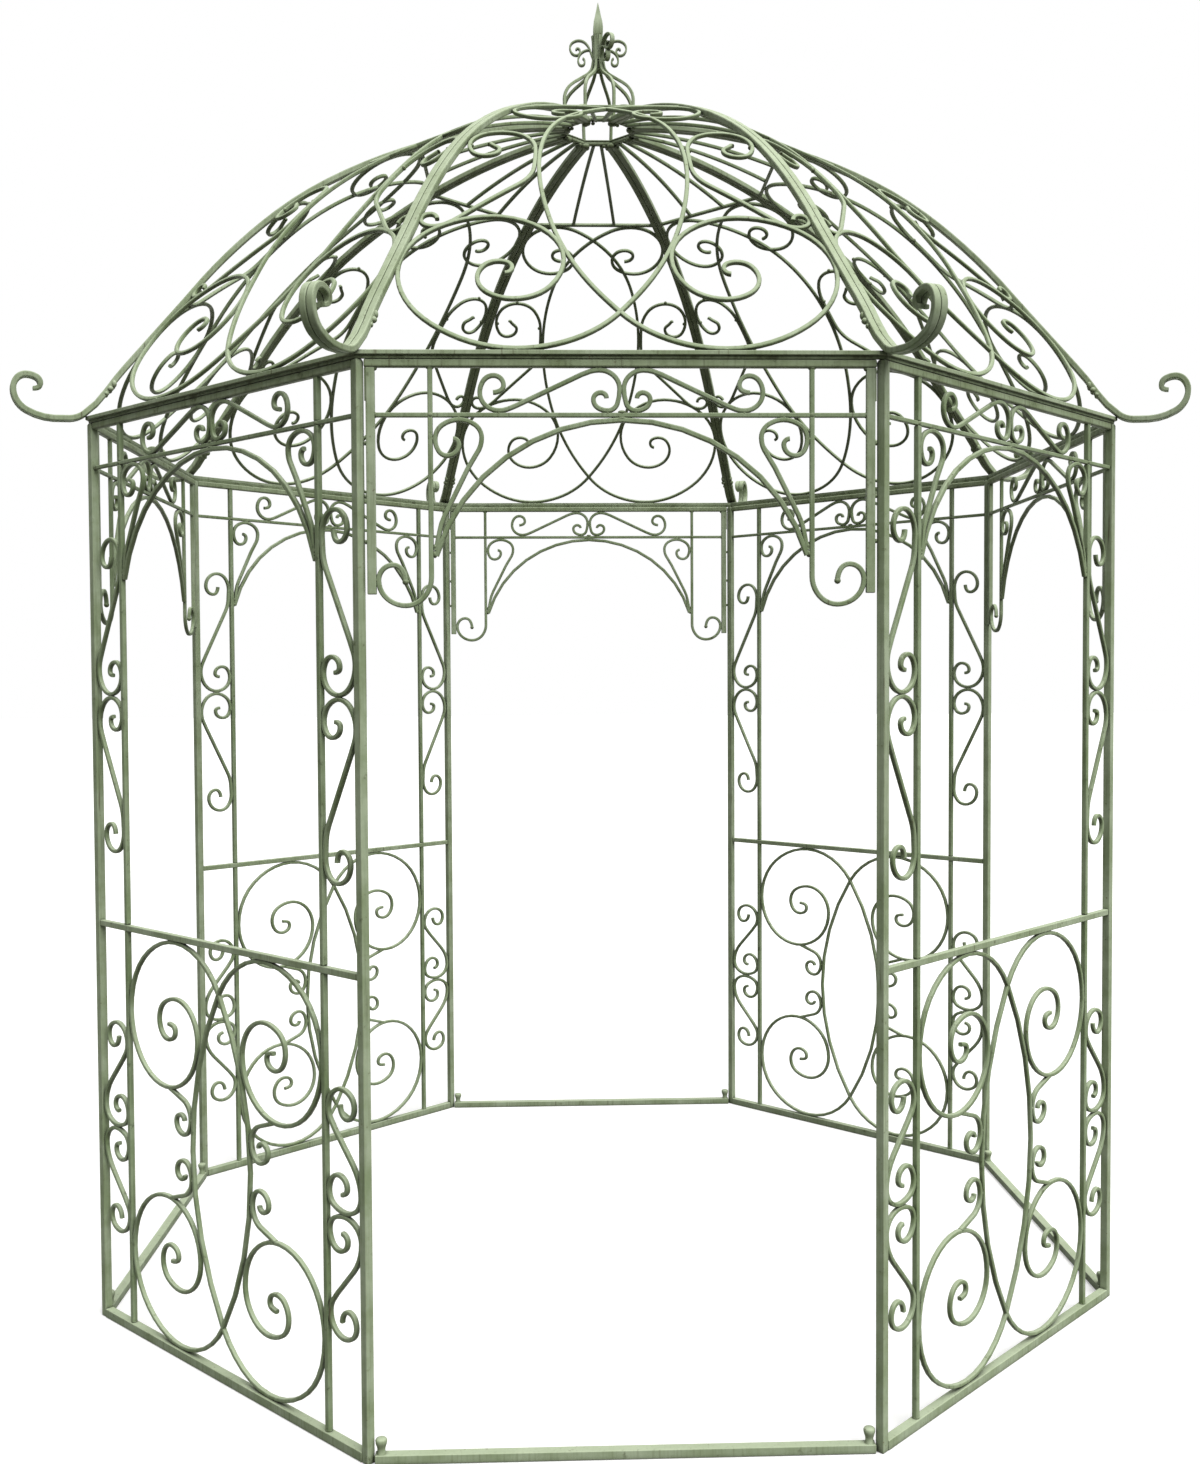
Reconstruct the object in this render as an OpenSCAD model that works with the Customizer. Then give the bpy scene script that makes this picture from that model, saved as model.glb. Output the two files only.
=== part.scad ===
// Garden pavilion of forged steel bars: eight posts on an octagon, four scrollwork screens,
// four doorways under arched valances, and a dome of eight bowed scrollwork gores.
// The origin is on the ground in the middle, +Z is up and the front doorway faces -Y.

/* [Plan and posts] */
// Distance between the centres of two neighbouring posts
side_len = 1000; // [940:10:1080]
// Height of the walls, from the ground to the top of the eave bars
wall_h = 2118; // [2060:1:2190]
// Width of the square posts
post_w = 18; // [14:1:22]
// Clearance where one separate piece rests against another
seat = 0.3; // [0.1:0.1:0.6]

/* [Scroll bars] */
// Greatest distance between a curve and the flats that it is drawn with
flat_error = 1.7; // [1.4:0.1:2.4]
// Width of a scroll bar in the plane of its panel
scroll_w = 9; // [7:0.5:11]
// Depth of a scroll bar across the panel
scroll_d = 10; // [8:0.5:12]
// How far a scroll is let into the bar that it is welded to
weld = 0.5; // [0.3:0.1:1]

/* [Screens] */
// Height of the bar at the foot of a screen
base_h = 20; // [14:1:26]
// Depth of the bar at the foot of a screen
base_d = 20; // [14:1:26]
// Height of the underside of the handrail
rail_z = 937; // [870:1:990]
// Height of the handrail bar
rail_h = 14; // [10:1:18]
// Depth of the handrail bar
rail_d = 14; // [10:1:20]
// Distance from a post's centre to the middle of the upright beside it
upright_inset = 125; // [110:1:140]
// Width of the square uprights
upright_w = 12; // [9:1:14]

/* [Valances] */
// Height of the eave bar on top of each bay
eave_h = 16; // [12:1:20]
// Depth of the eave bar
eave_d = 15; // [12:1:18]
// Clear height of the frieze between the eave bar and the rod under it
frieze_h = 84.5; // [78:0.5:95]
// Width of the square rod under the frieze
rod_w = 9; // [7:0.5:11]
// Width of the arch bar in the plane of its panel
arch_w = 10; // [8:0.5:13]
// Height of the arch, from the middle of its foot to the middle of its crown
arch_rise = 256; // [236:1:271]
// Distance from a post's centre to the rod that hangs beside each doorway
hanger_inset = 137; // [125:1:150]
// Width of the rod that hangs beside each doorway
hanger_w = 10; // [8:0.5:12]
// Length of the flat stile beside each doorway, from the top of the wall
stile_len = 443; // [420:1:480]
// Width of the stile
stile_w = 17; // [14:0.5:20]
// Thickness of the stile across the panel
stile_d = 12; // [8:1:14]
// Gap between the stile and the post that it is bolted to
stile_gap = 3; // [1:0.5:5]

/* [Thresholds] */
// Height of the threshold bar
sill_h = 18; // [12:1:24]
// Depth of the threshold bar
sill_d = 20; // [14:1:26]
// Distance from a post's centre to the knob on the threshold
knob_inset = 25; // [24:1:35]
// Height of a knob above the threshold bar
knob_h = 31; // [24:1:40]
// Diameter of the knob's head
knob_d = 22; // [18:1:23]
// Height of the knob's head
knob_head_h = 9; // [6:0.5:12]
// Diameter of the knob's stem
stem_d = 16; // [10:1:17]

/* [Roof] */
// Height of the dome, from the top of the walls to the middle of the ribs where they end
dome_rise = 860; // [790:1:940]
// Radius at which the ribs end around the crown
crown_r = 98; // [88:1:110]
// Width of one edge tube of a gore, across the rib
tube_w = 16; // [14:1:20]
// Thickness of an edge tube
tube_t = 14; // [10:1:18]
// Height of the bar along the foot of a gore
gore_bar_h = 15; // [12:1:20]
// Depth of the bars along the foot and the top of a gore
gore_bar_d = 15; // [12:1:18]
// Height of the bar at the top of a gore
crown_bar_h = 9; // [7:1:13]
// How far the foot of the roof stands out past the walls
roof_overhang = 7; // [3:0.5:9]
// Thickness of the gore scrollwork across the roof surface
gore_t = 9; // [7:0.5:12]

/* [Crown and finial] */
// Height of the crown ring
ring_h = 4; // [3:0.5:8]
// Width of the bar that the crown ring is made of
ring_w = 14; // [10:1:18]
// How far the corners of the crown ring stand out past the ends of the ribs
ring_outset = 5; // [3:1:8]
// Width of the eight bars of the finial's basket
basket_w = 8; // [6:0.5:10]
// Height of the finial above the crown ring, to the tip of the spear
finial_h = 333; // [290:1:390]
// Width of the four-sided spear
spear_w = 26; // [21:1:32]
// Width of the flat bar of the finial's scrolls
ribbon_w = 13; // [9:1:16]
// Thickness of the flat bar of the finial's scrolls
ribbon_t = 5; // [3:0.5:7]
// Radius of the finial's core between the basket and the spear
core_r = 14; // [11:1:16]

/* [Hidden] */
$fn = 72;
half_bay = 22.5;
apothem = side_len / 2 / tan(half_bay);
corner_r = side_len / 2 / sin(half_bay);
post_half_diag = post_w / sqrt(2);
iron = [0.50, 0.56, 0.44];

// Bay by bay, counter-clockwise from the front as seen from above.
bays = ["front", "front_right", "right", "rear_right", "rear", "rear_left", "left", "front_left"];
doorways = ["front", "right", "rear", "left"];
screens = ["front_right", "rear_right", "rear_left", "front_left"];
// Each screen stands between two posts, named for the doorway beside them.
sides = ["front", "right", "right", "rear", "rear", "left", "left", "front"];
screen_ends = [for (k = [0:7]) str(screens[floor(k / 2)], "_", sides[k])];

// ---- Curves ----
// A bar follows a list of stations [x, y, heading]. Two tangent arcs join each pair of stations.
// A heading left out is that of the straight line to the station beside it.

function heading(a, b) = atan2(b[1] - a[1], b[0] - a[0]);
function half_turn(a) = a > 180 ? half_turn(a - 360) : a < -180 ? half_turn(a + 360) : a;
function mirrored(s) = [for (p = s) [-p[0], p[1], is_undef(p[2]) ? undef : 180 - p[2]]];
function flipped(s) = [for (p = s) [p[0], -p[1], is_undef(p[2]) ? undef : -p[2]]];

// The stations stretched by kx and ky and then moved, with their headings turned to suit.
function placed(s, kx = 1, ky = 1, dx = 0, dy = 0) = [
    for (p = s)
        [p[0] * kx + dx, p[1] * ky + dy, is_undef(p[2]) ? undef : atan2(ky * sin(p[2]), kx * cos(p[2]))]
];

function with_headings(s) = [
    for (i = [0:len(s) - 1])
        !is_undef(s[i][2]) ? s[i]
            : let(first = i + 1 < len(s) && is_undef(s[i + 1][2]) ? i : i - 1)
                [s[i][0], s[i][1], heading(s[first], s[first + 1])]
];

// Where the two tangent arcs between stations p and q meet.
function arcs_meet(p, q) =
    let(
        u = [cos(p[2]), sin(p[2])],
        v = [cos(q[2]), sin(q[2])],
        chord = [q[0] - p[0], q[1] - p[1]],
        k = 1 - u * v,
        along = chord * (u + v),
        d = k < 1e-6
            ? chord * chord / (4 * chord * v)
            : (sqrt(along * along + 2 * k * chord * chord) - along) / (2 * k)
    )
    [(p[0] + q[0] + d * (u[0] - v[0])) / 2, (p[1] + q[1] + d * (u[1] - v[1])) / 2];

// How much the heading turns, from -180 to 180, on an arc from a that starts or ends at heading h.
function turn_from(a, h, b) = 2 * half_turn(heading(a, b) - h);
function turn_to(a, b, h) = 2 * half_turn(h - heading(a, b));

// The points of an arc after a, up to b, each with its heading.
function arc_points(a, b, turn) =
    let(
        length = norm([b[0] - a[0], b[1] - a[1]]),
        start = heading(a, b) - turn / 2,
        bends = abs(turn) > 0.2,
        radius = bends ? length / 2 / sin(abs(turn) / 2) : 0,
        steps = bends ? ceil(abs(turn) / 2 / acos(1 - min(flat_error / radius, 0.2))) : 1
    )
    [
        for (i = [1:steps])
            let(
                t = turn * i / steps,
                reach = bends ? length * sin(t / 2) / sin(turn / 2) : length,
                course = start + t / 2
            )
            [a[0] + reach * cos(course), a[1] + reach * sin(course), start + t]
    ];

// Every point of the middle line of a bar that follows the stations.
function trail(stations) =
    let(s = with_headings(stations))
    concat(
        [s[0]],
        [
            for (i = [0:len(s) - 2])
                let(m = arcs_meet(s[i], s[i + 1]))
                each concat(
                    arc_points(s[i], m, turn_from(s[i], s[i][2], m)),
                    arc_points(m, s[i + 1], turn_to(m, s[i + 1], s[i + 1][2]))
                )
        ]
    );

// How far the middle of a scroll bar lies from the face that it is welded to, and the same distance
// as the stations of the scrolls below are drawn.
touch = scroll_w / 2 - weld;
touch0 = 4;

function beside(p, w) = [p[0] - w / 2 * sin(p[2]), p[1] + w / 2 * cos(p[2])];

// A bar w wide and d deep that follows the stations, flat in the XY plane.
module bar(stations, w = scroll_w, d = scroll_d) {
    line = trail(stations);
    last = len(line) - 1;
    outline = concat(
        [for (p = line) beside(p, w)],
        [for (i = [last:-1:0]) beside(line[i], -w)]
    );
    linear_extrude(height = d, center = true)
        polygon(outline);
}

// The stations in the other order, for a bar that goes on in its own mirror image.
function reversed(s) = [for (i = [len(s) - 1:-1:0]) [s[i][0], s[i][1], is_undef(s[i][2]) ? undef : s[i][2] + 180]];
function past_last(s) = [for (i = [1:len(s) - 1]) s[i]];
function over_and_under(s) = concat(s, past_last(reversed(flipped(s))));
function left_and_right(s) = concat(s, past_last(reversed(mirrored(s))));

// A straight bar in the XY plane between two corners of its outline.
module straight(x0, y0, x1, y1, d) {
    translate([min(x0, x1), min(y0, y1), -d / 2])
        cube([abs(x1 - x0), abs(y1 - y0), d]);
}

module both_sides() {
    children();
    mirror([1, 0, 0])
        children();
}

// Stands a flat panel up in bay k, with its X along the wall and its Y upward.
module in_bay(k) {
    rotate([0, 0, 45 * k])
        translate([0, -apothem, 0])
            rotate([90, 0, 0])
                children();
}

// ---- Posts, thresholds ----

function is_screen(k) = k % 2 == 1;

module post(k) {
    color(iron)
        in_bay(2 * floor(k / 2) + 1)
            translate([side_len * (k % 2 - 0.5), 0, 0])
                straight(-post_w / 2, 0, post_w / 2, wall_h, post_w);
}

// Half the clear way between the posts of a doorway, whose posts show it a corner.
doorway_half = side_len / 2 - post_half_diag - seat;
// Half the clear way between the posts of a screen, whose posts show it a face.
screen_half = side_len / 2 - post_w / 2 - seat;

module knob() {
    cap_h = knob_head_h / 2;
    translate([0, 0, sill_h - weld])
        cylinder(d = stem_d, h = knob_h - knob_head_h + 2 * weld);
    translate([0, 0, sill_h + knob_h - knob_head_h]) {
        cylinder(d = knob_d, h = cap_h);
        translate([0, 0, cap_h])
            cylinder(d1 = knob_d, d2 = knob_d / 2, h = cap_h);
    }
}

module threshold(k) {
    color(iron)
        rotate([0, 0, 90 * k])
            translate([0, -apothem, 0]) {
                translate([-doorway_half, -sill_d / 2, 0])
                    cube([2 * doorway_half, sill_d, sill_h]);
                for (side = [-1, 1])
                    translate([side * (side_len / 2 - knob_inset), 0, 0])
                        knob();
            }
}

// ---- Screens: balustrade below, two side grilles above ----

upright_x = side_len / 2 - upright_inset;
upright_in = upright_x - upright_w / 2;
upright_out = upright_x + upright_w / 2;
strip_w = screen_half - upright_out;

// The stations of the scrolls below are drawn for these sizes and are stretched to the real ones.
field_half_w0 = 369;
field_half_h0 = 450.5;
strip_w0 = 110;
strip_h0 = 901;
grille_h0 = 1062;
// How far the middle of a pair of short scrolls lies below the middle of its strip.
short_pair_drop = 10;

// A quarter of the balustrade's two great scrolls, from its inner curl to the waist.
great_scroll = [
    [-202, 264, 0], [-176, 250, 270], [-204, 229, 180], [-242, 270, 90], [-170, 322, 0],
    [-86, 240, 270], [-216, 122, 180], [-365, 272, 90], [-170, 446.5, 0], [0, 356, 304],
    [111, 0, 270],
];
// The curl that springs from the great loop and leans on the waist.
waist_curl = [
    [-200, 122, 345], [-117, 66, 270], [-147, 29, 180], [-176, 54, 90], [-157, 71, 0], [-143, 60, 270],
];
// The upper one of a pair of scrolls between a post and the lower part of the upright.
short_scroll = [
    [68, 212, 270], [45, 187, 180], [23, 212, 90], [62, 243, 0], [106, 200, 270], [84, 160, undef],
    [31, 105, undef], [4.5, 45, 270], [55, 4, 0], [106, 38, 90], [74, 74, 180], [48, 52, 270], [64, 38, 0],
];
// The same between the handrail and the valance.
long_scroll = [
    [68, 323, 270], [50, 300, 180], [26, 325, 90], [66, 364, 0], [106, 317, 270], [94, 250, undef],
    [21, 110, undef], [4.5, 62, 270], [58, 4, 0], [106, 47, 90], [79, 79, 180], [54, 58, 270], [68, 48, 0],
];

// A pair of scrolls, one over the other, in the strip beside the left post.
module scroll_pair(s, middle, ky) {
    kx = (strip_w - 2 * touch) / (strip_w0 - 2 * touch0);
    upper = placed(s, kx, ky, touch - touch0 * kx, touch - touch0 * ky);
    translate([-screen_half, middle, 0]) {
        bar(upper);
        bar(flipped(upper));
    }
}

module balustrade(k) {
    kx = (upright_in - touch) / (field_half_w0 - touch0);
    clear_h = rail_z - base_h;
    ky = (clear_h / 2 - touch) / (field_half_h0 - touch0);
    middle = (base_h + rail_z) / 2;
    color(iron)
        in_bay(2 * k + 1) {
            straight(-screen_half, 0, screen_half, base_h, base_d);
            straight(-screen_half, rail_z, screen_half, rail_z + rail_h, rail_d);
            both_sides() {
                straight(upright_in, base_h - weld, upright_out, rail_z + weld, upright_w);
                scroll_pair(short_scroll, middle - short_pair_drop, clear_h / strip_h0);
                translate([0, middle, 0]) {
                    bar(placed(over_and_under(great_scroll), kx, ky));
                    bar(placed(waist_curl, kx, ky));
                    bar(placed(flipped(waist_curl), kx, ky));
                }
            }
        }
}

rod_top = wall_h - eave_h - frieze_h;
rod_under = rod_top - rod_w;

module side_grille(k) {
    low = rail_z + rail_h + seat;
    high = rod_under - seat;
    color(iron)
        in_bay(2 * floor(k / 2) + 1)
            mirror([k % 2, 0, 0]) {
                straight(-upright_out, low, -upright_in, high, upright_w);
                scroll_pair(long_scroll, (low + high) / 2, (high - low) / grille_h0);
            }
}

// ---- Valances ----

hanger_x = side_len / 2 - hanger_inset;
frieze_h0 = 84.5;
half_span0 = 358;
arch_rise0 = 256;

// One scroll of the frieze, drawn from the rod up, with the middle of the bay at x = 0.
frieze_scroll = [
    [-244, 38, 0], [-224, 52, 90], [-243, 70, 180], [-269, 38, 270], [-233, 4, 0], [-201, 13, undef],
    [-76, 72, undef], [-42, 80.5, 0], [-4, 45, 270], [-27, 4, 180], [-54, 25, 90], [-40, 38, 0], [-29, 28, 270],
];
// The cane beside the arch, drawn in and down from where the rods cross.
cane = [
    [4, -251, 77], [21, -185, undef], [66, -95, undef], [92, -38, 90], [49, -4, 180], [4, -41, 270],
    [27, -72, 0], [49, -51, 90], [38, -40, 180],
];
// The hook in which the hanging rod ends, drawn from the end of the rod's straight part.
hook = [[0, 0, 270], [-50, -54, 180], [-102, -6, 90], [-74, 23, 0], [-50, -9, 270]];
hook_end = hook[len(hook) - 1];
hook_drop = 301;
hook_reach0 = 102;
hook_end_d = 13;

// The frieze, arch and canes between two rods whose inner faces lie half_span from the middle.
module arch_and_frieze(half_span) {
    kx = half_span / half_span0;
    ky = (frieze_h - 2 * touch) / (frieze_h0 - 2 * touch0);
    arch_k = arch_rise / arch_rise0;
    foot = [-half_span + arch_w / 2 - weld, -arch_rise - arch_w / 2, 73];
    crown = [0, -arch_w / 2 + weld, 0];
    translate([0, rod_under, 0])
        bar(left_and_right([foot, crown]), arch_w);
    both_sides() {
        translate([0, rod_top, 0])
            bar(placed(frieze_scroll, kx, ky, touch0 * kx - touch, touch - touch0 * ky));
        translate([-half_span, rod_under, 0])
            bar(placed(cane, 1, arch_k, touch - touch0, touch0 * arch_k - touch));
    }
}

module valance(k) {
    half = is_screen(k) ? screen_half : doorway_half;
    eave_under = wall_h - eave_h;
    color(iron)
        in_bay(k) {
            straight(-half, eave_under, half, wall_h, eave_d);
            straight(-half, rod_under, half, rod_top, rod_w);
            arch_and_frieze(is_screen(k) ? upright_in : hanger_x - hanger_w / 2);
            both_sides()
                if (is_screen(k))
                    straight(-upright_out, rod_top - weld, -upright_in, eave_under + weld, upright_w);
                else
                    doorway_side();
        }
}

// What hangs beside a doorway: the stile against the post and the rod that ends in a hook.
module doorway_side() {
    stile_out = doorway_half - stile_gap;
    stile_in = stile_out - stile_w;
    reach = (stile_in - hanger_x - touch) / hook_reach0;
    straight(-stile_out, wall_h - stile_len, -stile_in, wall_h - eave_h + weld, stile_d);
    translate([-hanger_x, 0, 0]) {
        straight(-hanger_w / 2, rod_under - hook_drop, hanger_w / 2, wall_h - eave_h + weld, hanger_w);
        translate([0, rod_under - hook_drop, 0]) {
            bar(placed(hook, reach));
            translate([hook_end[0] * reach, hook_end[1] * reach, 0])
                cylinder(d = hook_end_d, h = scroll_d, center = true);
        }
    }
}

// ---- Roof ----

roof_z = wall_h + seat;
foot_apothem = apothem + roof_overhang;
crown_z = wall_h + dome_rise;
crown_top = crown_z + tube_t / 2 + weld;
narrow = cos(half_bay);
corner_r0 = 1306.5;
crown_r0 = 98;
wall_h0 = 2118;
dome_rise0 = 860;
foot_apothem0 = 1214;

// The middle of a rib from the crown out to the foot: distance from the axis, height, heading.
rib_dome = [
    [98, 2978, -7], [600, 2828, -26], [870, 2656, -40.5], [1046, 2478, -50], [1092, 2421, undef],
    [1229, 2255, undef],
];
// The horn in which a rib ends.
horn = [
    [1326, 2138, -38], [1392, 2124, 0], [1479, 2186, 90], [1449, 2221, 180], [1420, 2201, 270], [1436, 2190, 0],
];

rib_kr = (corner_r - crown_r) / (corner_r0 - crown_r0);
rib_kz = dome_rise / dome_rise0;
dome_curve = placed(rib_dome, rib_kr, rib_kz, crown_r - crown_r0 * rib_kr, wall_h - wall_h0 * rib_kz);
horn_curve = placed(horn, 1, 1, corner_r - corner_r0, wall_h - wall_h0);
// The same dome seen along the middle of a gore, down to the bar at its foot.
gore_curve = concat(
    placed(with_headings(dome_curve), narrow, 1),
    [[foot_apothem, roof_z + gore_bar_h - weld, 297]]
);

// The gore scrollwork is laid out in a plane that leans in from the foot of the gore.
lean = 40;
layout_len0 = 1394;
layout_len = (foot_apothem - crown_r * narrow) * cos(lean) + (crown_z - roof_z - gore_bar_h) * sin(lean);
collar_q = 1045;
collar_half = 190;
// The two straight rods above the collar start here and end beside the crown there.
collar_rod_x = 61;
crown_rod_x = 10;
// Deep enough for a bar in the plane to pass through the whole bulge of the gore.
through = 900;

// A great roof scroll, from the curl under the collar to the one in the loop at the foot.
roof_scroll = [
    [98, 896, 0], [124, 918, 90], [98, 941, 180], [60, 900, 270], [130, 846, 0], [214, 935, 90],
    [112, 1036, 180], [0, 981, 222], [-156, 561, 270], [0, 93, 309], [200, 4, 0], [433, 209, 90],
    [250, 377, 180], [107, 248, 270], [207, 129, 0], [277, 191, 90], [236, 240, 180], [209, 220, 270],
    [223, 204, 0],
];
// The lesser scroll outside it, from the upper curl to the foot curl beside the rib.
side_scroll = [
    [-262, 659, 90], [-252, 650, 315], [-240, 632, 270], [-272, 604, 180], [-305, 652, 90],
    [-236, 728, 0], [-163, 634, 270], [-198, 487, undef], [-318, 374, undef], [-372, 346, 180],
    [-395, 366, 90], [-376, 384, 0], [-362, 369, 270],
];

module gore_scrollwork() {
    kx = foot_apothem / foot_apothem0;
    kq = layout_len / layout_len0;
    collar = collar_q * kq;
    intersection() {
        translate([0, -foot_apothem, roof_z + gore_bar_h])
            rotate([lean, 0, 0]) {
                straight(-collar_half * kx, collar - scroll_w / 2, collar_half * kx, collar + scroll_w / 2, through);
                both_sides() {
                    bar(placed(roof_scroll, kx, kq), d = through);
                    bar(placed(side_scroll, kx, kq), d = through);
                    bar([[collar_rod_x * kx, collar, undef], [crown_rod_x, layout_len, undef]], d = through);
                }
            }
        rotate([90, 0, -90])
            bar(gore_curve, gore_t, side_len);
    }
}

// A bar across the gore, mitred where it meets the planes of the ribs.
module gore_bar(a, z, h, d) {
    gap = seat / 2 / cos(half_bay);
    outer = (a + d / 2) * tan(half_bay) - gap;
    inner = (a - d / 2) * tan(half_bay) - gap;
    translate([0, 0, z])
        linear_extrude(height = h)
            polygon([[-outer, -a - d / 2], [outer, -a - d / 2], [inner, d / 2 - a], [-inner, d / 2 - a]]);
}

// An edge tube of a gore with its horn, on the side where side is 1 or -1.
module edge_tube(side) {
    rotate([0, 0, side * half_bay - 90])
        rotate([90, 0, 0])
            translate([0, 0, side * (tube_w + seat) / 2])
                bar(concat(dome_curve, horn_curve), tube_t, tube_w);
}

module roof_gore(k) {
    color(iron)
        rotate([0, 0, 45 * k]) {
            edge_tube(-1);
            edge_tube(1);
            gore_bar(foot_apothem, roof_z, gore_bar_h, gore_bar_d);
            gore_bar(crown_r * narrow, crown_top - crown_bar_h, crown_bar_h, gore_bar_d);
            gore_scrollwork();
        }
}

// ---- Crown and finial ----

ring_z = crown_top + seat;
ring_r = crown_r + ring_outset;

module crown_ring() {
    color(iron)
        translate([0, 0, ring_z])
            rotate([0, 0, half_bay])
                difference() {
                    cylinder(r = ring_r, h = ring_h, $fn = 8);
                    translate([0, 0, -1])
                        cylinder(r = ring_r - ring_w, h = ring_h + 2, $fn = 8);
                }
}

// The bars of the basket stand on the corners of the ring, in the middle of its bar.
foot_r = ring_r - ring_w / 2;

// One bar of the basket: distance from the axis, height above the ring, heading.
basket_bar = [[93, 0, 86], [96, 64, 92], [76, 106, 138], [32, 138, 140], [15, 166, 96], [13, 180, 90]];
upper_volute = [
    [12, 172, 90], [21, 206, 74], [50, 232, 0], [73, 212, 270], [57, 193, 180], [47, 203, 90], [53, 211, 0],
    [57, 207, 270],
];
lower_volute = [[20, 207, 6], [52, 179, 270], [43, 166, 180], [35, 175, 90], [40, 185, 20]];
// The four scrolls are welded on by eye: the front one sits a little to the right.
volute_turns = [0, 90, 180, 298];
core_z = 168;
// The outline of the spear on one side: distance from the axis, height.
spear_outline = [[11, 243], [12.7, 250], [13, 264], [11.6, 279], [8.6, 292], [4.4, 313], [0.5, 333]];
spear_widest = spear_outline[2][0];
spear_tip = spear_outline[len(spear_outline) - 1][1];

module finial() {
    kr = foot_r / basket_bar[0][0];
    kz = finial_h / spear_tip;
    color(iron)
        translate([0, 0, ring_z + ring_h + seat]) {
            for (k = [0:7])
                rotate([90, 0, half_bay + 45 * k])
                    bar(placed(basket_bar, kr, kz), basket_w, basket_w);
            for (turn = volute_turns)
                rotate([90, 0, turn])
                    for (s = [upper_volute, lower_volute])
                        bar(placed(s, kr, kz), ribbon_t, ribbon_w);
            translate([0, 0, core_z * kz])
                cylinder(r = core_r, h = (spear_outline[0][1] - core_z) * kz + weld);
            intersection() {
                spear_profile(kz);
                rotate([0, 0, 90])
                    spear_profile(kz);
            }
        }
}

// The spear seen from one side, as a prism that is deeper than the spear.
module spear_profile(kz) {
    half = [for (p = spear_outline) [p[0] * spear_w / 2 / spear_widest, p[1] * kz]];
    rotate([90, 0, 0])
        linear_extrude(height = 2 * spear_w, center = true)
            polygon(concat(half, [for (i = [len(half) - 1:-1:0]) [-half[i][0], half[i][1]]]));
}

post(0);  // post_front_right_front
post(1);  // post_front_right_right
post(2);  // post_rear_right_right
post(3);  // post_rear_right_rear
post(4);  // post_rear_left_rear
post(5);  // post_rear_left_left
post(6);  // post_front_left_left
post(7);  // post_front_left_front
threshold(0);  // threshold_front
threshold(1);  // threshold_right
threshold(2);  // threshold_rear
threshold(3);  // threshold_left
balustrade(0);  // balustrade_front_right
balustrade(1);  // balustrade_rear_right
balustrade(2);  // balustrade_rear_left
balustrade(3);  // balustrade_front_left
side_grille(0);  // side_grille_front_right_front
side_grille(1);  // side_grille_front_right_right
side_grille(2);  // side_grille_rear_right_right
side_grille(3);  // side_grille_rear_right_rear
side_grille(4);  // side_grille_rear_left_rear
side_grille(5);  // side_grille_rear_left_left
side_grille(6);  // side_grille_front_left_left
side_grille(7);  // side_grille_front_left_front
valance(0);  // valance_front
valance(1);  // valance_front_right
valance(2);  // valance_right
valance(3);  // valance_rear_right
valance(4);  // valance_rear
valance(5);  // valance_rear_left
valance(6);  // valance_left
valance(7);  // valance_front_left
roof_gore(0);  // roof_gore_front
roof_gore(1);  // roof_gore_front_right
roof_gore(2);  // roof_gore_right
roof_gore(3);  // roof_gore_rear_right
roof_gore(4);  // roof_gore_rear
roof_gore(5);  // roof_gore_rear_left
roof_gore(6);  // roof_gore_left
roof_gore(7);  // roof_gore_front_left
crown_ring();
finial();
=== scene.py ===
# %% [markdown]
# # A garden pavilion of forged steel bars
# The real pavilion is a kit of welded panels: posts, screens, arched valances and eight bowed roof
# panels that are bolted together under a small finial. All of it is square steel bar, bent hot
# round scrolling jigs, and painted a soft sage green that has picked up smuts outdoors.
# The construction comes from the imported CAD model, loaded as a fixed frame. Each CAD node is then
# replaced by a piece with the rounded bars, cut ends and weld beads that a smith would leave.

# %% The frame
import math

import bpy
from mathutils import Matrix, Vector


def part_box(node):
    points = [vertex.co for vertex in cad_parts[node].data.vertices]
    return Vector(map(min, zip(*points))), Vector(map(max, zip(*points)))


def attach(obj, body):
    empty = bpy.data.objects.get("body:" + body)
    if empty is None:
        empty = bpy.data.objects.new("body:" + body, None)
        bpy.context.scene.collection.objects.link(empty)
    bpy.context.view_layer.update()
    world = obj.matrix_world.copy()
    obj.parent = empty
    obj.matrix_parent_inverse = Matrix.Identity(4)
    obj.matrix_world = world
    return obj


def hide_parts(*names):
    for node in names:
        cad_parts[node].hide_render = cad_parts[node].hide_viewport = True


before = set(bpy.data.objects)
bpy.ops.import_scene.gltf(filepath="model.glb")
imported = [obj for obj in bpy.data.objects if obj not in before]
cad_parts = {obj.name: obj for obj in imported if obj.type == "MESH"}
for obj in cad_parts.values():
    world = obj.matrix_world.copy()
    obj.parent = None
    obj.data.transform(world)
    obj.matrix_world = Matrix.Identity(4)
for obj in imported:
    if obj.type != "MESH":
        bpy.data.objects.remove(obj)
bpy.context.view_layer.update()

# %% [markdown]
# ## Sizes
# A smith works in millimetres, so the panels are drawn in millimetres and `MM` turns them into
# metres at the end. The main sizes could be typed in again, but they are measured on the frame
# instead, so that every piece fits the CAD. `seat` is the hair's gap that keeps two nodes apart.

# %% Sizes
MM = 0.001
BAYS = ["front", "front_right", "right", "rear_right", "rear", "rear_left", "left", "front_left"]
SCREENS = BAYS[1::2]
DOORWAYS = BAYS[0::2]
POST_SIDES = ["front", "right", "right", "rear", "rear", "left", "left", "front"]
SCREEN_ENDS = [f"{SCREENS[k // 2]}_{POST_SIDES[k]}" for k in range(8)]
HALF_BAY = math.radians(22.5)


def measure(node, corner, axis):
    """A corner coordinate of a CAD node, in millimetres. Corner 0 is the lowest one."""
    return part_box(node)[corner][axis] / MM


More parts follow.
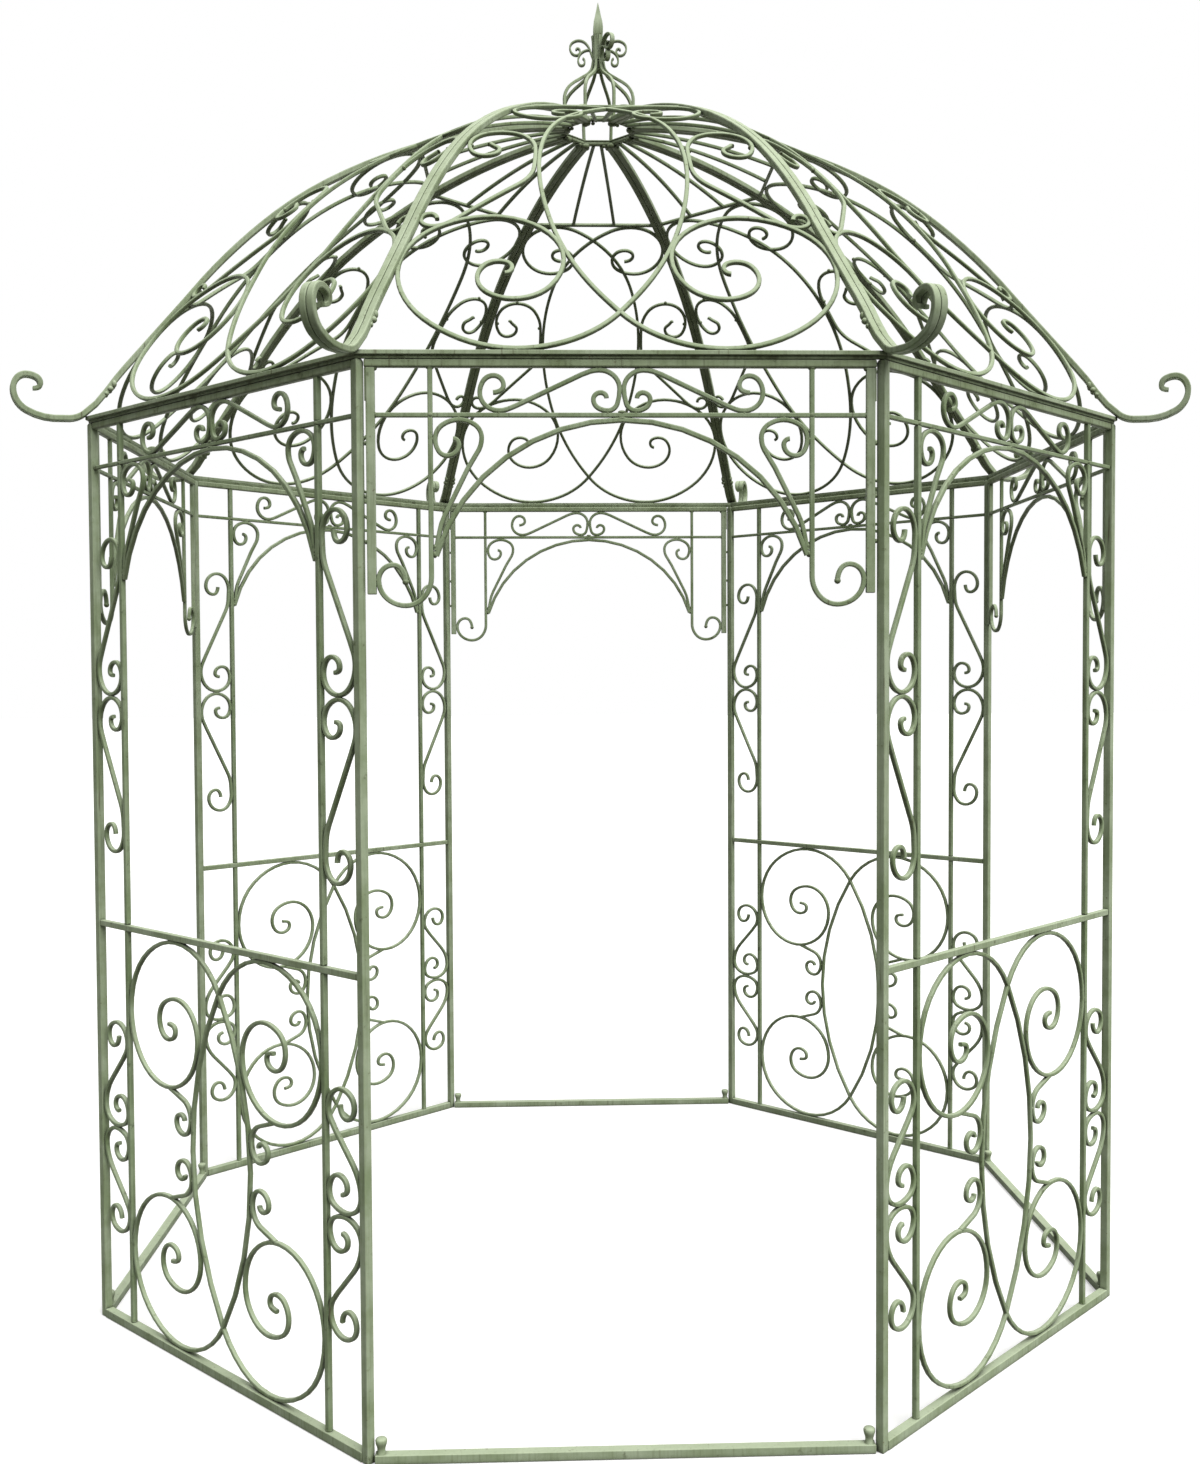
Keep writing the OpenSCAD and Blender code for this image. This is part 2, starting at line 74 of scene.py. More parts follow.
seat = 0.3
post_w = 18
wall_top = measure("post_front_right_front", 1, 2)
sill_low = measure("threshold_front", 0, 1)
sill_high = measure("threshold_front", 1, 1)
apothem = -(sill_low + sill_high) / 2
side_len = 2 * apothem * math.tan(HALF_BAY)
corner_r = side_len / 2 / math.sin(HALF_BAY)
doorway_half = measure("threshold_front", 1, 0)
screen_half = side_len / 2 - post_w / 2 - seat
print(f"walls {wall_top:.0f} mm high, sides {side_len:.0f} mm long")

# %% [markdown]
# ## Camera
# The pavilion is seen from a standing person's eye height, about four metres in front of it and
# almost square to a doorway, with a wide lens that takes in the finial and the thresholds. One
# matrix places the camera: it is moved to the eye, turned, tipped and leaned.

# %% Camera
camera_data = bpy.data.cameras.new("camera")
camera_data.lens = 36.715
camera_data.sensor_width = 36
camera = bpy.data.objects.new("camera", camera_data)
bpy.context.scene.collection.objects.link(camera)
eye = (-0.1398, -4.0587, 1.5095)
yaw, pitch, roll = (math.radians(angle) for angle in (1.911, -1.971, -0.299))
camera.matrix_world = (
    Matrix.Translation(eye)
    @ Matrix.Rotation(-yaw, 4, "Z")
    @ Matrix.Rotation(math.radians(90) + pitch, 4, "X")
    @ Matrix.Rotation(roll, 4, "Z")
)
bpy.context.scene.camera = camera
print("camera at", [round(value, 3) for value in camera.location])

# %% [markdown]
# ## Three small tools
# Every operator works on what is selected, so each step starts from a clean selection, and `pick`
# does that. `node` adds one shader node with its settings, values and links. `srgb` reads a colour
# as a paint chart gives it, because the nodes work with linear light.


# %% Three small tools
def pick(*objects):
    """Selects only these objects and makes the first one active."""
    bpy.ops.object.select_all(action="DESELECT")
    for one in objects:
        one.select_set(True)
    bpy.context.view_layer.objects.active = objects[0]
    return objects[0]


def node(tree, kind, inputs=None, **settings):
    """Adds a shader node. An input is a value, or the output socket that is linked to it."""
    new = tree.nodes.new(kind)
    for name, value in settings.items():
        setattr(new, name, value)
    for name, value in (inputs or {}).items():
        if isinstance(value, bpy.types.NodeSocket):
            tree.links.new(value, new.inputs[name])
        else:
            new.inputs[name].default_value = value
    return new


def srgb(text):
    """A colour written as sRGB hex, as the linear values that the nodes work with."""
    parts = [int(text[i:i + 2], 16) / 255 for i in (1, 3, 5)]
    return [c / 12.92 if c <= 0.04045 else ((c + 0.055) / 1.055) ** 2.4 for c in parts] + [1.0]


print("sage green as linear light:", [round(value, 3) for value in srgb("#8b9a76")])

# %% [markdown]
# ## The paint
# The finish is brushed alkyd enamel, sage green, over steel that keeps the marks of forging. Such
# enamel is satin, with an IOR of 1.5 and a middling roughness, and weather has dulled its shine.
# The eye reads it as an old hand-painted garden piece. A painted swatch would repeat, so noise at
# real sizes builds the colour up instead, in the order in which the years did it, with painted
# shade and light laid in on the way.
# First the green itself drifts paler in clouds a hand wide, and thin smutty runs have dried down
# the uprights. The runs are the same noise, squeezed across and drawn out downwards. `layer` lays
# one colour over another where a pattern is strong, and every later step uses it.

# %% Clouds and runs
SHARE, UNDER, OVER, MIXED = 0, 6, 7, 2  # a Mix node's sockets when it mixes colours
CLOUD_MM = 90
RUN_W_MM = 6
RUN_LEN_MM = 160


def per(size_mm):
    """The scale of a pattern whose features are about this large."""
    return 1 / (size_mm * MM)


def layer(tree, under, over, pattern, none_at, full_at, most=1.0):
    """One colour over another. Of the upper one there is none where the pattern's value is
    none_at, and its greatest share where it is full_at."""
    share = node(tree, "ShaderNodeMapRange", {
        "Value": pattern, "From Min": none_at, "From Max": full_at, "To Max": most})
    mixed = node(tree, "ShaderNodeMix", {
        SHARE: share.outputs["Result"], UNDER: under, OVER: over}, data_type="RGBA")
    return mixed.outputs[MIXED]


def clouds_and_runs(tree, place, pale, green, smut_and_shade):
    """The clouded green with its runs, and the runs by themselves."""
    clouds = node(tree, "ShaderNodeTexNoise", {
        "Vector": place, "Scale": per(CLOUD_MM), "Detail": 5, "Roughness": 0.62})
    clouded = layer(tree, srgb(green), srgb(pale), clouds.outputs["Fac"], 0.36, 0.64)
    down = node(tree, "ShaderNodeMapping", {
        "Vector": place, "Scale": (per(RUN_W_MM), per(RUN_W_MM), per(RUN_LEN_MM))})
    runs = node(tree, "ShaderNodeTexNoise", {
        "Vector": down.outputs["Vector"], "Scale": 1, "Detail": 3})
    streaked = layer(tree, clouded, srgb(smut_and_shade), runs.outputs["Fac"], 0.5, 0.78, 0.42)
    return streaked, runs.outputs["Fac"]


print(f"clouds {per(CLOUD_MM):.0f} and runs {per(RUN_W_MM):.0f} to the metre")

# %% [markdown]
# Light and shade are painted on by direction. Faces that look down get painted shade in the smut
# colour, except on the horns, which stand out past the eaves and keep only a little of it. Faces
# that look up get painted light, a paler green. The surface's normal gives the direction, and the
# distance from the middle of the pavilion tells a horn from the rest.

# %% Painted shade below and painted light above
# Past these distances most of the painted underside shade is left off.
SHADE_FADES_FROM, SHADE_FADES_TO = 1.32, 1.35  # metres out from the middle
# the paler green of the painted light on faces that look up
PAINTED_TOP_LIGHT = "#bcc8aa"


def painted_shade_and_light(tree, place, colour, smut_and_shade):
    """The colour with painted shade on its undersides and painted light on its tops."""
    normal = node(tree, "ShaderNodeNewGeometry").outputs["Normal"]
    facing = node(tree, "ShaderNodeSeparateXYZ", {"Vector": normal})
    # Painted shade: faces that look down are darkened towards the smut colour.
    under = node(tree, "ShaderNodeMapRange", {
        "Value": facing.outputs["Z"], "From Min": 0.0, "From Max": -0.6, "To Max": 0.74})
    outward = node(tree, "ShaderNodeVectorMath", {0: place, 1: (1, 1, 0)}, operation="MULTIPLY")
    reach = node(tree, "ShaderNodeVectorMath", {0: outward.outputs["Vector"]}, operation="LENGTH")
    # On the horns most of the painted underside shade is left off.
    shade_kept = node(tree, "ShaderNodeMapRange", {
        "Value": reach.outputs["Value"], "From Min": SHADE_FADES_FROM, "From Max": SHADE_FADES_TO,
        "To Min": 1, "To Max": 0.1})
    under_shade_share = node(tree, "ShaderNodeMath", {
        0: under.outputs["Result"], 1: shade_kept.outputs["Result"]}, operation="MULTIPLY")
    shaded_below = node(tree, "ShaderNodeMix", {
        SHARE: under_shade_share.outputs["Value"], UNDER: colour, OVER: srgb(smut_and_shade)}, data_type="RGBA")
    # Painted light: faces that look up are made paler.
    up = facing.outputs["Z"]
    return layer(tree, shaded_below.outputs[MIXED], srgb(PAINTED_TOP_LIGHT), up, 0.2, 0.85, 0.62)


# Most of the painted underside shade is left off further out than this.
print(f"rain rinses what is further out than {SHADE_FADES_TO} m")

# %% [markdown]
# Then comes what collects, and the shade in the nooks. The nooks where bars meet are darkened
# with painted shade, which ambient occlusion finds. Smuts settle in patches as wide as a thumb.
# Rust breaks through in pinpricks, and where a run is strongest it has wept down the bar.

# %% Painted shade in nooks, smuts and rust
NOOK_MM = 16
PATCH_MM = 28
PINPRICK_MM = 7
# the colour of the painted shade in the nooks
NOOK_SHADE = "#24271a"
RUST = "#5d4a30"
WEPT_RUST = "#4b3b29"


def nook_shade_and_soiling(tree, place, colour, runs, smut_and_shade, smut_share):
    """The colour with painted shade in its nooks, its smuts and rust, and the patches of smut by
    themselves.
    """
    # Painted shade: ambient occlusion darkens the nooks where bars meet.
    nook = node(tree, "ShaderNodeAmbientOcclusion", {"Distance": NOOK_MM * MM}, samples=6)
    nook_shaded = layer(tree, colour, srgb(NOOK_SHADE), nook.outputs["AO"], 0.82, 0.35, 0.9)
    patches = node(tree, "ShaderNodeTexNoise", {
        "Vector": place, "Scale": per(PATCH_MM), "Detail": 6, "Roughness": 0.7})
    none_at, full_at = 0.66 - 0.3 * smut_share, 0.76 - 0.2 * smut_share
    smutted = layer(tree, nook_shaded, srgb(smut_and_shade), patches.outputs["Fac"], none_at, full_at, 0.75)
    pinpricks = node(tree, "ShaderNodeTexNoise", {
        "Vector": place, "Scale": per(PINPRICK_MM), "Detail": 2})
    rusted = layer(tree, smutted, srgb(RUST), pinpricks.outputs["Fac"], 0.7, 0.76, 0.55)
    wept = layer(tree, rusted, srgb(WEPT_RUST), runs, 0.68, 0.74, 0.6)
    return wept, patches.outputs["Fac"]


# The painted shade reaches this far out of a nook.
print(f"grime reaches {NOOK_MM} mm out of a nook")

# %% [markdown]
# Last comes the surface. A forged bar has shallow dents about as wide as the hammer's face, and
# the paint brush has left fine marks on top. Both are too shallow to model, so two bumps draw
# them, the brush marks on top of the dents. Smutted patches are duller than clean paint. A brush
# hair is finer than the render can show, so its marks are drawn 2.5 mm wide.

# %% The surface
BRUSH_MM = 2.5


def brushed_skin(tree, place, colour, patches, hammer_mm):
    """The satin shader with its dents and brush marks, linked to the material's output."""
    hammer = node(tree, "ShaderNodeTexNoise", {
        "Vector": place, "Scale": per(hammer_mm), "Detail": 3, "Roughness": 0.5})
    brush = node(tree, "ShaderNodeTexNoise", {"Vector": place, "Scale": per(BRUSH_MM), "Detail": 2})
    dents = node(tree, "ShaderNodeBump", {
        "Height": hammer.outputs["Fac"], "Strength": 0.3, "Distance": 1.2 * MM})
    surface = node(tree, "ShaderNodeBump", {
        "Height": brush.outputs["Fac"], "Normal": dents.outputs["Normal"], "Strength": 0.25,
        "Distance": 0.3 * MM})
    gloss = node(tree, "ShaderNodeMapRange", {
        "Value": patches, "From Min": 0.35, "From Max": 0.7, "To Min": 0.5, "To Max": 0.75})
    skin = node(tree, "ShaderNodeBsdfPrincipled", {
        "Base Color": colour, "Roughness": gloss.outputs["Result"],
        "Normal": surface.outputs["Normal"], "IOR": 1.5, "Metallic": 0.0,
        "Specular IOR Level": 0.25})
    return node(tree, "ShaderNodeOutputMaterial", {"Surface": skin.outputs["BSDF"]})


def enamel(name, pale, green, smut_and_shade, smut_share, hammer_mm):
    """Satin sage enamel on steel. smut_share is the share of smutted paint, about 0 to 1."""
    material = bpy.data.materials.new(name)
    material.use_nodes = True
    tree = material.node_tree
    tree.nodes.clear()
    place = node(tree, "ShaderNodeTexCoord").outputs["Object"]
    colour, runs = clouds_and_runs(tree, place, pale, green, smut_and_shade)
    # Painted shade on the undersides and painted light on the tops, by the way each face looks.
    colour = painted_shade_and_light(tree, place, colour, smut_and_shade)
    # Painted shade in the nooks, then smuts and rust.
    colour, patches = nook_shade_and_soiling(tree, place, colour, runs, smut_and_shade, smut_share)
    brushed_skin(tree, place, colour, patches, hammer_mm)
    print(f"{name}: {len(tree.nodes)} nodes")
    return material


# %% [markdown]
# All of the pavilion is painted alike, but it hasn't aged alike. Tube is straight and smooth, so
# its dents are wide and its paint stays palest. Forged bar is livelier and a little darker. The
# eave bars are given a darker copy of the paint, and weld beads hold dirt in their pits.

# %% Four states of one paint
tube_paint = enamel("sage_enamel_on_steel_tube", "#abb89a", "#8b9a76", "#4f5437", 0.1, 30)
bar_paint = enamel("sage_enamel_on_forged_bar", "#9aa988", "#798a63", "#41452c", 0.2, 24)
# A darker copy of the paint for the eave bars.
eave_paint = enamel("darker_enamel_on_eave_bars", "#a0ae8c", "#7e8c66", "#3c3f28", 0.25, 30)
weld_paint = enamel("sage_enamel_on_weld_beads", "#8f9d7b", "#6d7a57", "#3a3d26", 0.5, 5)

# %% [markdown]
# ## Drawing a scroll
# A smith lays a scroll out with a few marks and bends the bar in fair arcs between them. The same
# is done here: a line is a list of stations (x, y, heading) and two tangent arcs join each pair.
# Bezier handles could draw it too, but they leave flats and kinks that a bent bar never has.
# Without a heading, the bar runs straight towards the station beside it. Only the marks are
# written down, and each arc is cut into as many short steps as it needs to look round.

# %% Arcs between stations
STEP_TURN = 10
LONGEST_STEP = 400
ALMOST_STRAIGHT = 0.2


def heading(a, b):
    """The direction from a to b, in degrees."""
    return math.degrees(math.atan2(b[1] - a[1], b[0] - a[0]))


def half_turn(angle):
    """The same angle, between -180 and 180."""
    return (angle + 180) % 360 - 180


def with_headings(line):
    """Fills in the headings that were left out."""
    full = []
    for i, (x, y, course) in enumerate(line):
        if course is None:
            first = i if i + 1 < len(line) and line[i + 1][2] is None else i - 1
            course = heading(line[first], line[first + 1])
        full.append((x, y, course))
    return full


def arcs_meet(p, q):
    """The point where the two tangent arcs between stations p and q meet."""
    u, v = ((math.cos(math.radians(s[2])), math.sin(math.radians(s[2]))) for s in (p, q))
    dx, dy = q[0] - p[0], q[1] - p[1]
    k = 1 - u[0] * v[0] - u[1] * v[1]
    along = dx * (u[0] + v[0]) + dy * (u[1] + v[1])
    chord = dx * dx + dy * dy
    if k < 1e-6:
        reach = chord / (4 * (dx * v[0] + dy * v[1]))
    else:
        reach = (math.sqrt(along * along + 2 * k * chord) - along) / (2 * k)
    return (p[0] + q[0] + reach * (u[0] - v[0])) / 2, (p[1] + q[1] + reach * (u[1] - v[1])) / 2


def arc(a, b, turn, longest):
    """The points of an arc after a, up to b, in short steps."""
    length = math.hypot(b[0] - a[0], b[1] - a[1])
    start = heading(a, b) - turn / 2
    steps = max(1, math.ceil(abs(turn) / STEP_TURN), math.ceil(length / longest))
    points = []
    for i in range(1, steps + 1):
        t = turn * i / steps
        if abs(turn) > ALMOST_STRAIGHT:
            reach = length * math.sin(math.radians(t / 2)) / math.sin(math.radians(turn / 2))
        else:
            reach = length * i / steps
        course = math.radians(start + t / 2)
        points.append((a[0] + reach * math.cos(course), a[1] + reach * math.sin(course), start + t))
    return points


def trail(line, longest=LONGEST_STEP):
    """Every point of the middle line of a bar that follows the stations."""
    line = with_headings(line)
    points = [line[0]]
    for p, q in zip(line, line[1:]):
        m = arcs_meet(p, q)
        points += arc(p, m, 2 * half_turn(heading(p, m) - p[2]), longest)
        points += arc(m, q, 2 * half_turn(q[2] - heading(m, q)), longest)
    return points


print("a square bend is drawn with", len(trail([(0, 0, 0), (50, 50, 90)])), "points")

# %% [markdown]
# Panels repeat the same scroll over and over, mirrored or stretched a little to fit their frame.
# A mirrored mesh would have its faces turned in, so it is the stations that are mirrored and
# stretched, and each scroll is drawn once.


# %% Mirrored, flipped and stretched lines
def mirrored(line):
    return [(-x, y, None if c is None else 180 - c) for x, y, c in line]


def flipped(line):
    return [(x, -y, None if c is None else -c) for x, y, c in line]


def backwards(line):
    return [(x, y, None if c is None else c + 180) for x, y, c in reversed(line)]


def over_and_under(line):
    return line + backwards(flipped(line))[1:]


def left_and_right(line):
    return line + backwards(mirrored(line))[1:]


def placed(line, kx=1, ky=1, dx=0, dy=0):
    """The stations stretched by kx and ky and then moved, with their headings turned to suit."""
    moved = []
    for x, y, c in line:
        if c is not None:
            rise, run = ky * math.sin(math.radians(c)), kx * math.cos(math.radians(c))
            c = math.degrees(math.atan2(rise, run))
        moved.append((x * kx + dx, y * ky + dy, c))
    return moved


print("mirrored, a mark at (10, 20) heading 30 is", mirrored([(10, 20, 30)])[0])

# %% [markdown]
# ## Forging a bar
# Real scroll bar is square with softened arrises, because it is rolled and then hammered. It could
# be an extruded square that is bent by a modifier, but a curve with a section bends truly. The
# section is a plane whose corners are bevelled, made into a closed curve, and the bar's own curve
# carries it along the line. The curve is made a mesh at once, its loose end caps are merged on,
# and its normals are made to face outwards.

# %% Forging a bar
MERGE_WITHIN = 2e-6
SMOOTH_UNDER = math.radians(20)


def section(width, depth, corner):
    """The rounded section of a bar, as a closed curve. Width lies in the plane of the panel."""
    bpy.ops.object.select_all(action="DESELECT")
    bpy.ops.mesh.primitive_plane_add(size=1)
    outline = bpy.context.object
    outline.scale = (width * MM, depth * MM, 1)
    bpy.ops.object.transform_apply(location=False, rotation=False, scale=True)
    bpy.ops.object.mode_set(mode="EDIT")
    bpy.ops.mesh.select_all(action="SELECT")
    bpy.ops.mesh.bevel(offset=corner * MM, segments=2, affect="VERTICES")
    bpy.ops.mesh.select_all(action="SELECT")
    bpy.ops.mesh.delete(type="ONLY_FACE")
    bpy.ops.object.mode_set(mode="OBJECT")
    bpy.ops.object.convert(target="CURVE")
    return outline


def close_up(piece):
    """Merges doubled points, turns the faces outwards and smooths only the shallow edges."""
    pick(piece)
    bpy.ops.object.mode_set(mode="EDIT")
    bpy.ops.mesh.select_all(action="SELECT")
    bpy.ops.mesh.remove_doubles(threshold=MERGE_WITHIN)
    bpy.ops.mesh.normals_make_consistent(inside=False)
    bpy.ops.object.mode_set(mode="OBJECT")
    bpy.ops.object.shade_smooth_by_angle(angle=SMOOTH_UNDER)
    return piece


def forged(name, lines, width, depth, corner, material, longest=LONGEST_STEP, swell=None, aside=0):
    """One mesh with a bar along each line, flat in the XY plane. swell gives a bar's thickness
    as a share of the full one, from how far along the bar a point is (0 to 1). aside is how far
    the full bar lies to one side of the plane, and it shrinks with the bar."""
    outline = section(width, depth, corner)
    curve = bpy.data.curves.new(name, "CURVE")
    curve.dimensions = "3D"
    curve.twist_mode = "Z_UP"
    curve.bevel_mode = "OBJECT"
    curve.bevel_object = outline
    curve.use_fill_caps = True
    for line in lines:
        points = trail(line, longest)
        spline = curve.splines.new("POLY")
        spline.points.add(len(points) - 1)
        for i, (point, (x, y, course)) in enumerate(zip(spline.points, points)):
            point.radius = swell(i / (len(points) - 1)) if swell else 1
            point.co = (x * MM, y * MM, aside * point.radius * MM, 1)
    piece = bpy.data.objects.new(name, curve)
    bpy.context.scene.collection.objects.link(piece)
    pick(piece)
    bpy.ops.object.convert(target="MESH")
    piece = bpy.context.object
    bpy.data.objects.remove(outline)
    piece.data.materials.clear()
    piece.data.materials.append(material)
    print(f"forged {name}: {len(lines)} lines of {width} by {depth} mm bar")
    return close_up(piece)


# %% [markdown]
# ## Straight bars
# Posts, rails and eave bars are steel tube with rounded arrises. A cube is added at the bar's size
# and place, and its edges are bevelled in edit mode. The bevel is what catches the light, so its
# radius is the tube's own, about 2 mm. Only edges under 10 degrees are smoothed, because smooth
# shading over the bevels would make the flat sides look round.

# %% Straight bars
TUBE_ARRIS = 1.8
FLAT_SIDES = math.radians(10)


def square_bar(x0, y0, x1, y1, depth, corner=TUBE_ARRIS, material=tube_paint):
    """A straight bar between two corners of its outline in the XY plane of the panel."""
    bpy.ops.object.select_all(action="DESELECT")
    middle = ((x0 + x1) / 2 * MM, (y0 + y1) / 2 * MM, 0)
    bpy.ops.mesh.primitive_cube_add(size=1, location=middle)
    bar = bpy.context.object
    bar.scale = (abs(x1 - x0) * MM, abs(y1 - y0) * MM, depth * MM)
    bpy.ops.object.transform_apply(location=True, rotation=False, scale=True)
    bpy.ops.object.mode_set(mode="EDIT")
    bpy.ops.mesh.select_all(action="SELECT")
    bpy.ops.mesh.bevel(offset=corner * MM, segments=3, affect="EDGES", clamp_overlap=True)
    bpy.ops.object.mode_set(mode="OBJECT")
    bar.data.materials.append(material)
    bpy.ops.object.shade_smooth_by_angle(angle=FLAT_SIDES)
    return bar


print(f"tube has arrises of {TUBE_ARRIS} mm, unless a bar gives its own")

# %% [markdown]
# ## Weld beads
# Where bars touch, the smith leaves a bead of weld, a lump of 8 to 12 mm that is ground only
# roughly. Each one is a small icosphere, flattened a little and pushed half into the joint. A
# fillet between the bars would be truer to a machine's weld, but these are dabs by hand.

# %% Weld beads
scroll_w = 9
scroll_d = 10


def weld_bead(x, y, width=11.0, height=11.0, depth=12.0):
    """A lump of weld in the plane of the panel. Its sizes are in millimetres, like the bars'."""
    bpy.ops.object.select_all(action="DESELECT")
    bpy.ops.mesh.primitive_ico_sphere_add(
        subdivisions=2, radius=0.5, location=(x * MM, y * MM, 0))
    bead = bpy.context.object
    bead.scale = (width * MM, height * MM, depth * MM)
    bpy.ops.object.transform_apply(location=True, rotation=False, scale=True)
    bead.data.materials.append(weld_paint)
    bpy.ops.object.shade_smooth()
    return bead


def touch_bead(line, index, side, size=9.0):
    """A bead where a bar's station touches another bar, on its left (1) or its right (-1)."""
    x, y, course = with_headings(line)[index]
    course = math.radians(course)
    x -= side * scroll_w / 2 * math.sin(course)
    y += side * scroll_w / 2 * math.cos(course)
    return weld_bead(x, y, size, size, size + 1)


def touch_beads(touches, sign, size=9.0):
    """Beads for (line, station, side) on the left of a panel (1) or mirrored on its right (-1)."""
    return [touch_bead(mirrored(line) if sign < 0 else line, index, side * sign, size)
            for line, index, side in touches]


print(f"scroll bar is {scroll_w} by {scroll_d} mm")

# %% [markdown]
# ## Joining and placing panels
# The parts of a panel are joined into one mesh. A panel is drawn flat, so it is stood up, moved
# out to its wall and turned to its bay, and that place is applied to its mesh: the object itself
# stays at the origin, as the CAD nodes do. A copy gets a mesh of its own, and a mirrored copy has
# its faces turned out again.

# %% Joining and placing panels
STOOD_UP = Matrix.Rotation(math.radians(90), 4, "X")


def joined(name, parts):
    """One mesh of all the parts."""
    pick(*parts)
    if len(parts) > 1:
        bpy.ops.object.join()
    whole = bpy.context.object
    whole.name = name
    whole.data.name = name
    return whole


def put(piece, matrix):
    """Applies a place to the piece's mesh."""
    piece.matrix_world = matrix
    pick(piece)
    bpy.ops.object.transform_apply(location=True, rotation=True, scale=True)
    return piece


def copy_of(piece, name, matrix):
    """A copy in another place, with a mesh of its own."""
    pick(piece)
    bpy.ops.object.duplicate(linked=False)
    twin = bpy.context.object
    twin.name = name
    twin.data.name = name
    put(twin, matrix)
    if matrix.determinant() < 0:
        pick(twin)
        bpy.ops.object.mode_set(mode="EDIT")
        bpy.ops.mesh.select_all(action="SELECT")
        bpy.ops.mesh.normals_make_consistent(inside=False)
        bpy.ops.object.mode_set(mode="OBJECT")
    return twin


def moved(x=0, y=0, z=0):
    """A move in millimetres."""
    return Matrix.Translation((x * MM, y * MM, z * MM))


def turned(bays):
    """The turn from the front bay to another one, counted counter-clockwise from above."""
    return Matrix.Rotation(bays * 2 * HALF_BAY, 4, "Z")


to_front_wall = moved(y=-apothem) @ STOOD_UP
print(f"a panel stands {apothem:.0f} mm out from the middle")

# %% [markdown]
# A finished piece is tied to the frame: it rides the one body and hides the CAD node that it stands
# for.

# %% Tying a piece to the frame
total_triangles = 0


def stands_for(piece, cad_node):
    """Ties a finished piece to the frame and gives its number of triangles."""
    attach(piece, "root")
    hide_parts(cad_node)
    faces = sum(len(p.vertices) - 2 for p in piece.data.polygons)
    print(f"{piece.name}: {faces} triangles")
    return faces


def set_in_bays(panel, bays, piece_suffix, node_prefix):
    """Stands a copy of a front panel in each of these bays. Gives the number of triangles."""
    faces = 0
    for bay in bays:
        piece = copy_of(panel, f"{bay}_{piece_suffix}", turned(BAYS.index(bay)))
        faces += stands_for(piece, f"{node_prefix}_{bay}")
    bpy.data.objects.remove(panel)
    return faces


# %% [markdown]
# ## Posts
# Eight posts of 18 mm square tube stand on the corners, square to the screen beside them. Their
# tops are closed and drawn in a little, like a cap. A bar is made once. Two cuts give it rings of
# points below its top, the points above the upper ring are drawn in, and each post is a copy that
# is turned to its corner.

# %% Posts
post_arris = 1.6
cap_h = 5
cap_collar = 4
drawn_in_per_mm = 0.05
just_above = 0.1

post = square_bar(-post_w / 2, 0, post_w / 2, wall_top, post_w, post_arris)
pick(post)
bpy.ops.object.mode_set(mode="EDIT")
bpy.ops.mesh.select_mode(type="EDGE")
for drop in (cap_h + cap_collar, cap_h):
    bpy.ops.mesh.select_all(action="SELECT")
    bpy.ops.mesh.bisect(plane_co=(0, (wall_top - drop) * MM, 0), plane_no=(0, 1, 0))
bpy.ops.object.mode_set(mode="OBJECT")
for vertex in post.data.vertices:
    above = vertex.co.y / MM - (wall_top - cap_h)
    if above > just_above:
        inward = 1 - drawn_in_per_mm * above
        vertex.co.x *= inward
        vertex.co.z *= inward

for k, end in enumerate(SCREEN_ENDS):
    side = side_len * (k % 2 - 0.5)
    corner_place = turned(2 * (k // 2) + 1) @ to_front_wall @ moved(side)
    piece = copy_of(post, f"{end}_post", corner_place)
    total_triangles += stands_for(piece, f"post_{end}")
bpy.data.objects.remove(post)

# %% [markdown]
# ## Thresholds
# A doorway has a low bar on the ground between its posts. A knob stands near each end of the bar:
# it is the cap nut that holds the frame down. A knob could be a stack of cylinders and balls, but
# a turned part is one profile. So half its outline is drawn and the spin operator turns it round
# its own axis.

# %% A turned knob
sill_h = 18
KNOB_STEPS = 24
knob_profile = [
    (9.5, 17), (8.2, 21), (7.7, 26), (8.6, 31.5), (10.3, 36), (11.3, 40), (11.5, 43.5), (10.8, 46),
    (9.4, 47.6), (2, 48.8),
]


def turned_knob(x, profile):
    """A solid of revolution about a vertical line at x, from its profile of radius and height."""
    mesh = bpy.data.meshes.new("knob")
    points = [(r * MM, 0, z * MM) for r, z in profile]
    mesh.from_pydata(points, [(i, i + 1) for i in range(len(points) - 1)], [])
    knob = bpy.data.objects.new("knob", mesh)
    bpy.context.scene.collection.objects.link(knob)
    pick(knob)
    bpy.ops.object.mode_set(mode="EDIT")
    bpy.ops.mesh.select_all(action="SELECT")
    bpy.ops.mesh.spin(steps=KNOB_STEPS, angle=2 * math.pi, center=(0, 0, 0), axis=(0, 0, 1))
    bpy.ops.mesh.select_all(action="SELECT")
    bpy.ops.mesh.remove_doubles(threshold=1e-6)
    bpy.ops.mesh.fill_holes(sides=0)
    bpy.ops.mesh.normals_make_consistent(inside=False)
    bpy.ops.object.mode_set(mode="OBJECT")
    knob.data.materials.append(tube_paint)
    bpy.ops.object.shade_smooth_by_angle(angle=math.radians(50))
    return put(knob, moved(x))


print(f"a knob is {knob_profile[-1][1] - sill_h:.0f} mm high over its bar")

# %% Thresholds
knob_inset = 25
sill = put(square_bar(-doorway_half, 0, doorway_half, sill_h, sill_high - sill_low), STOOD_UP)
knobs = [turned_knob(side * (side_len / 2 - knob_inset), knob_profile) for side in (-1, 1)]
threshold = put(joined("threshold", [sill] + knobs), moved(y=-apothem))
total_triangles += set_in_bays(threshold, DOORWAYS, "threshold", "threshold")

# %% [markdown]
# ## Balustrades
# The lower half of a screen is a panel of two great scrolls that cross like an hourglass, with a
# strip of small scrolls up each side. Its foot bar and handrail are tube, its uprights and scrolls
# are forged bar. A quarter of the panel is laid out, and the rest of it is mirrored. Each drawing
# has a size of its own, and is stretched until its scrolls touch the bars round them.

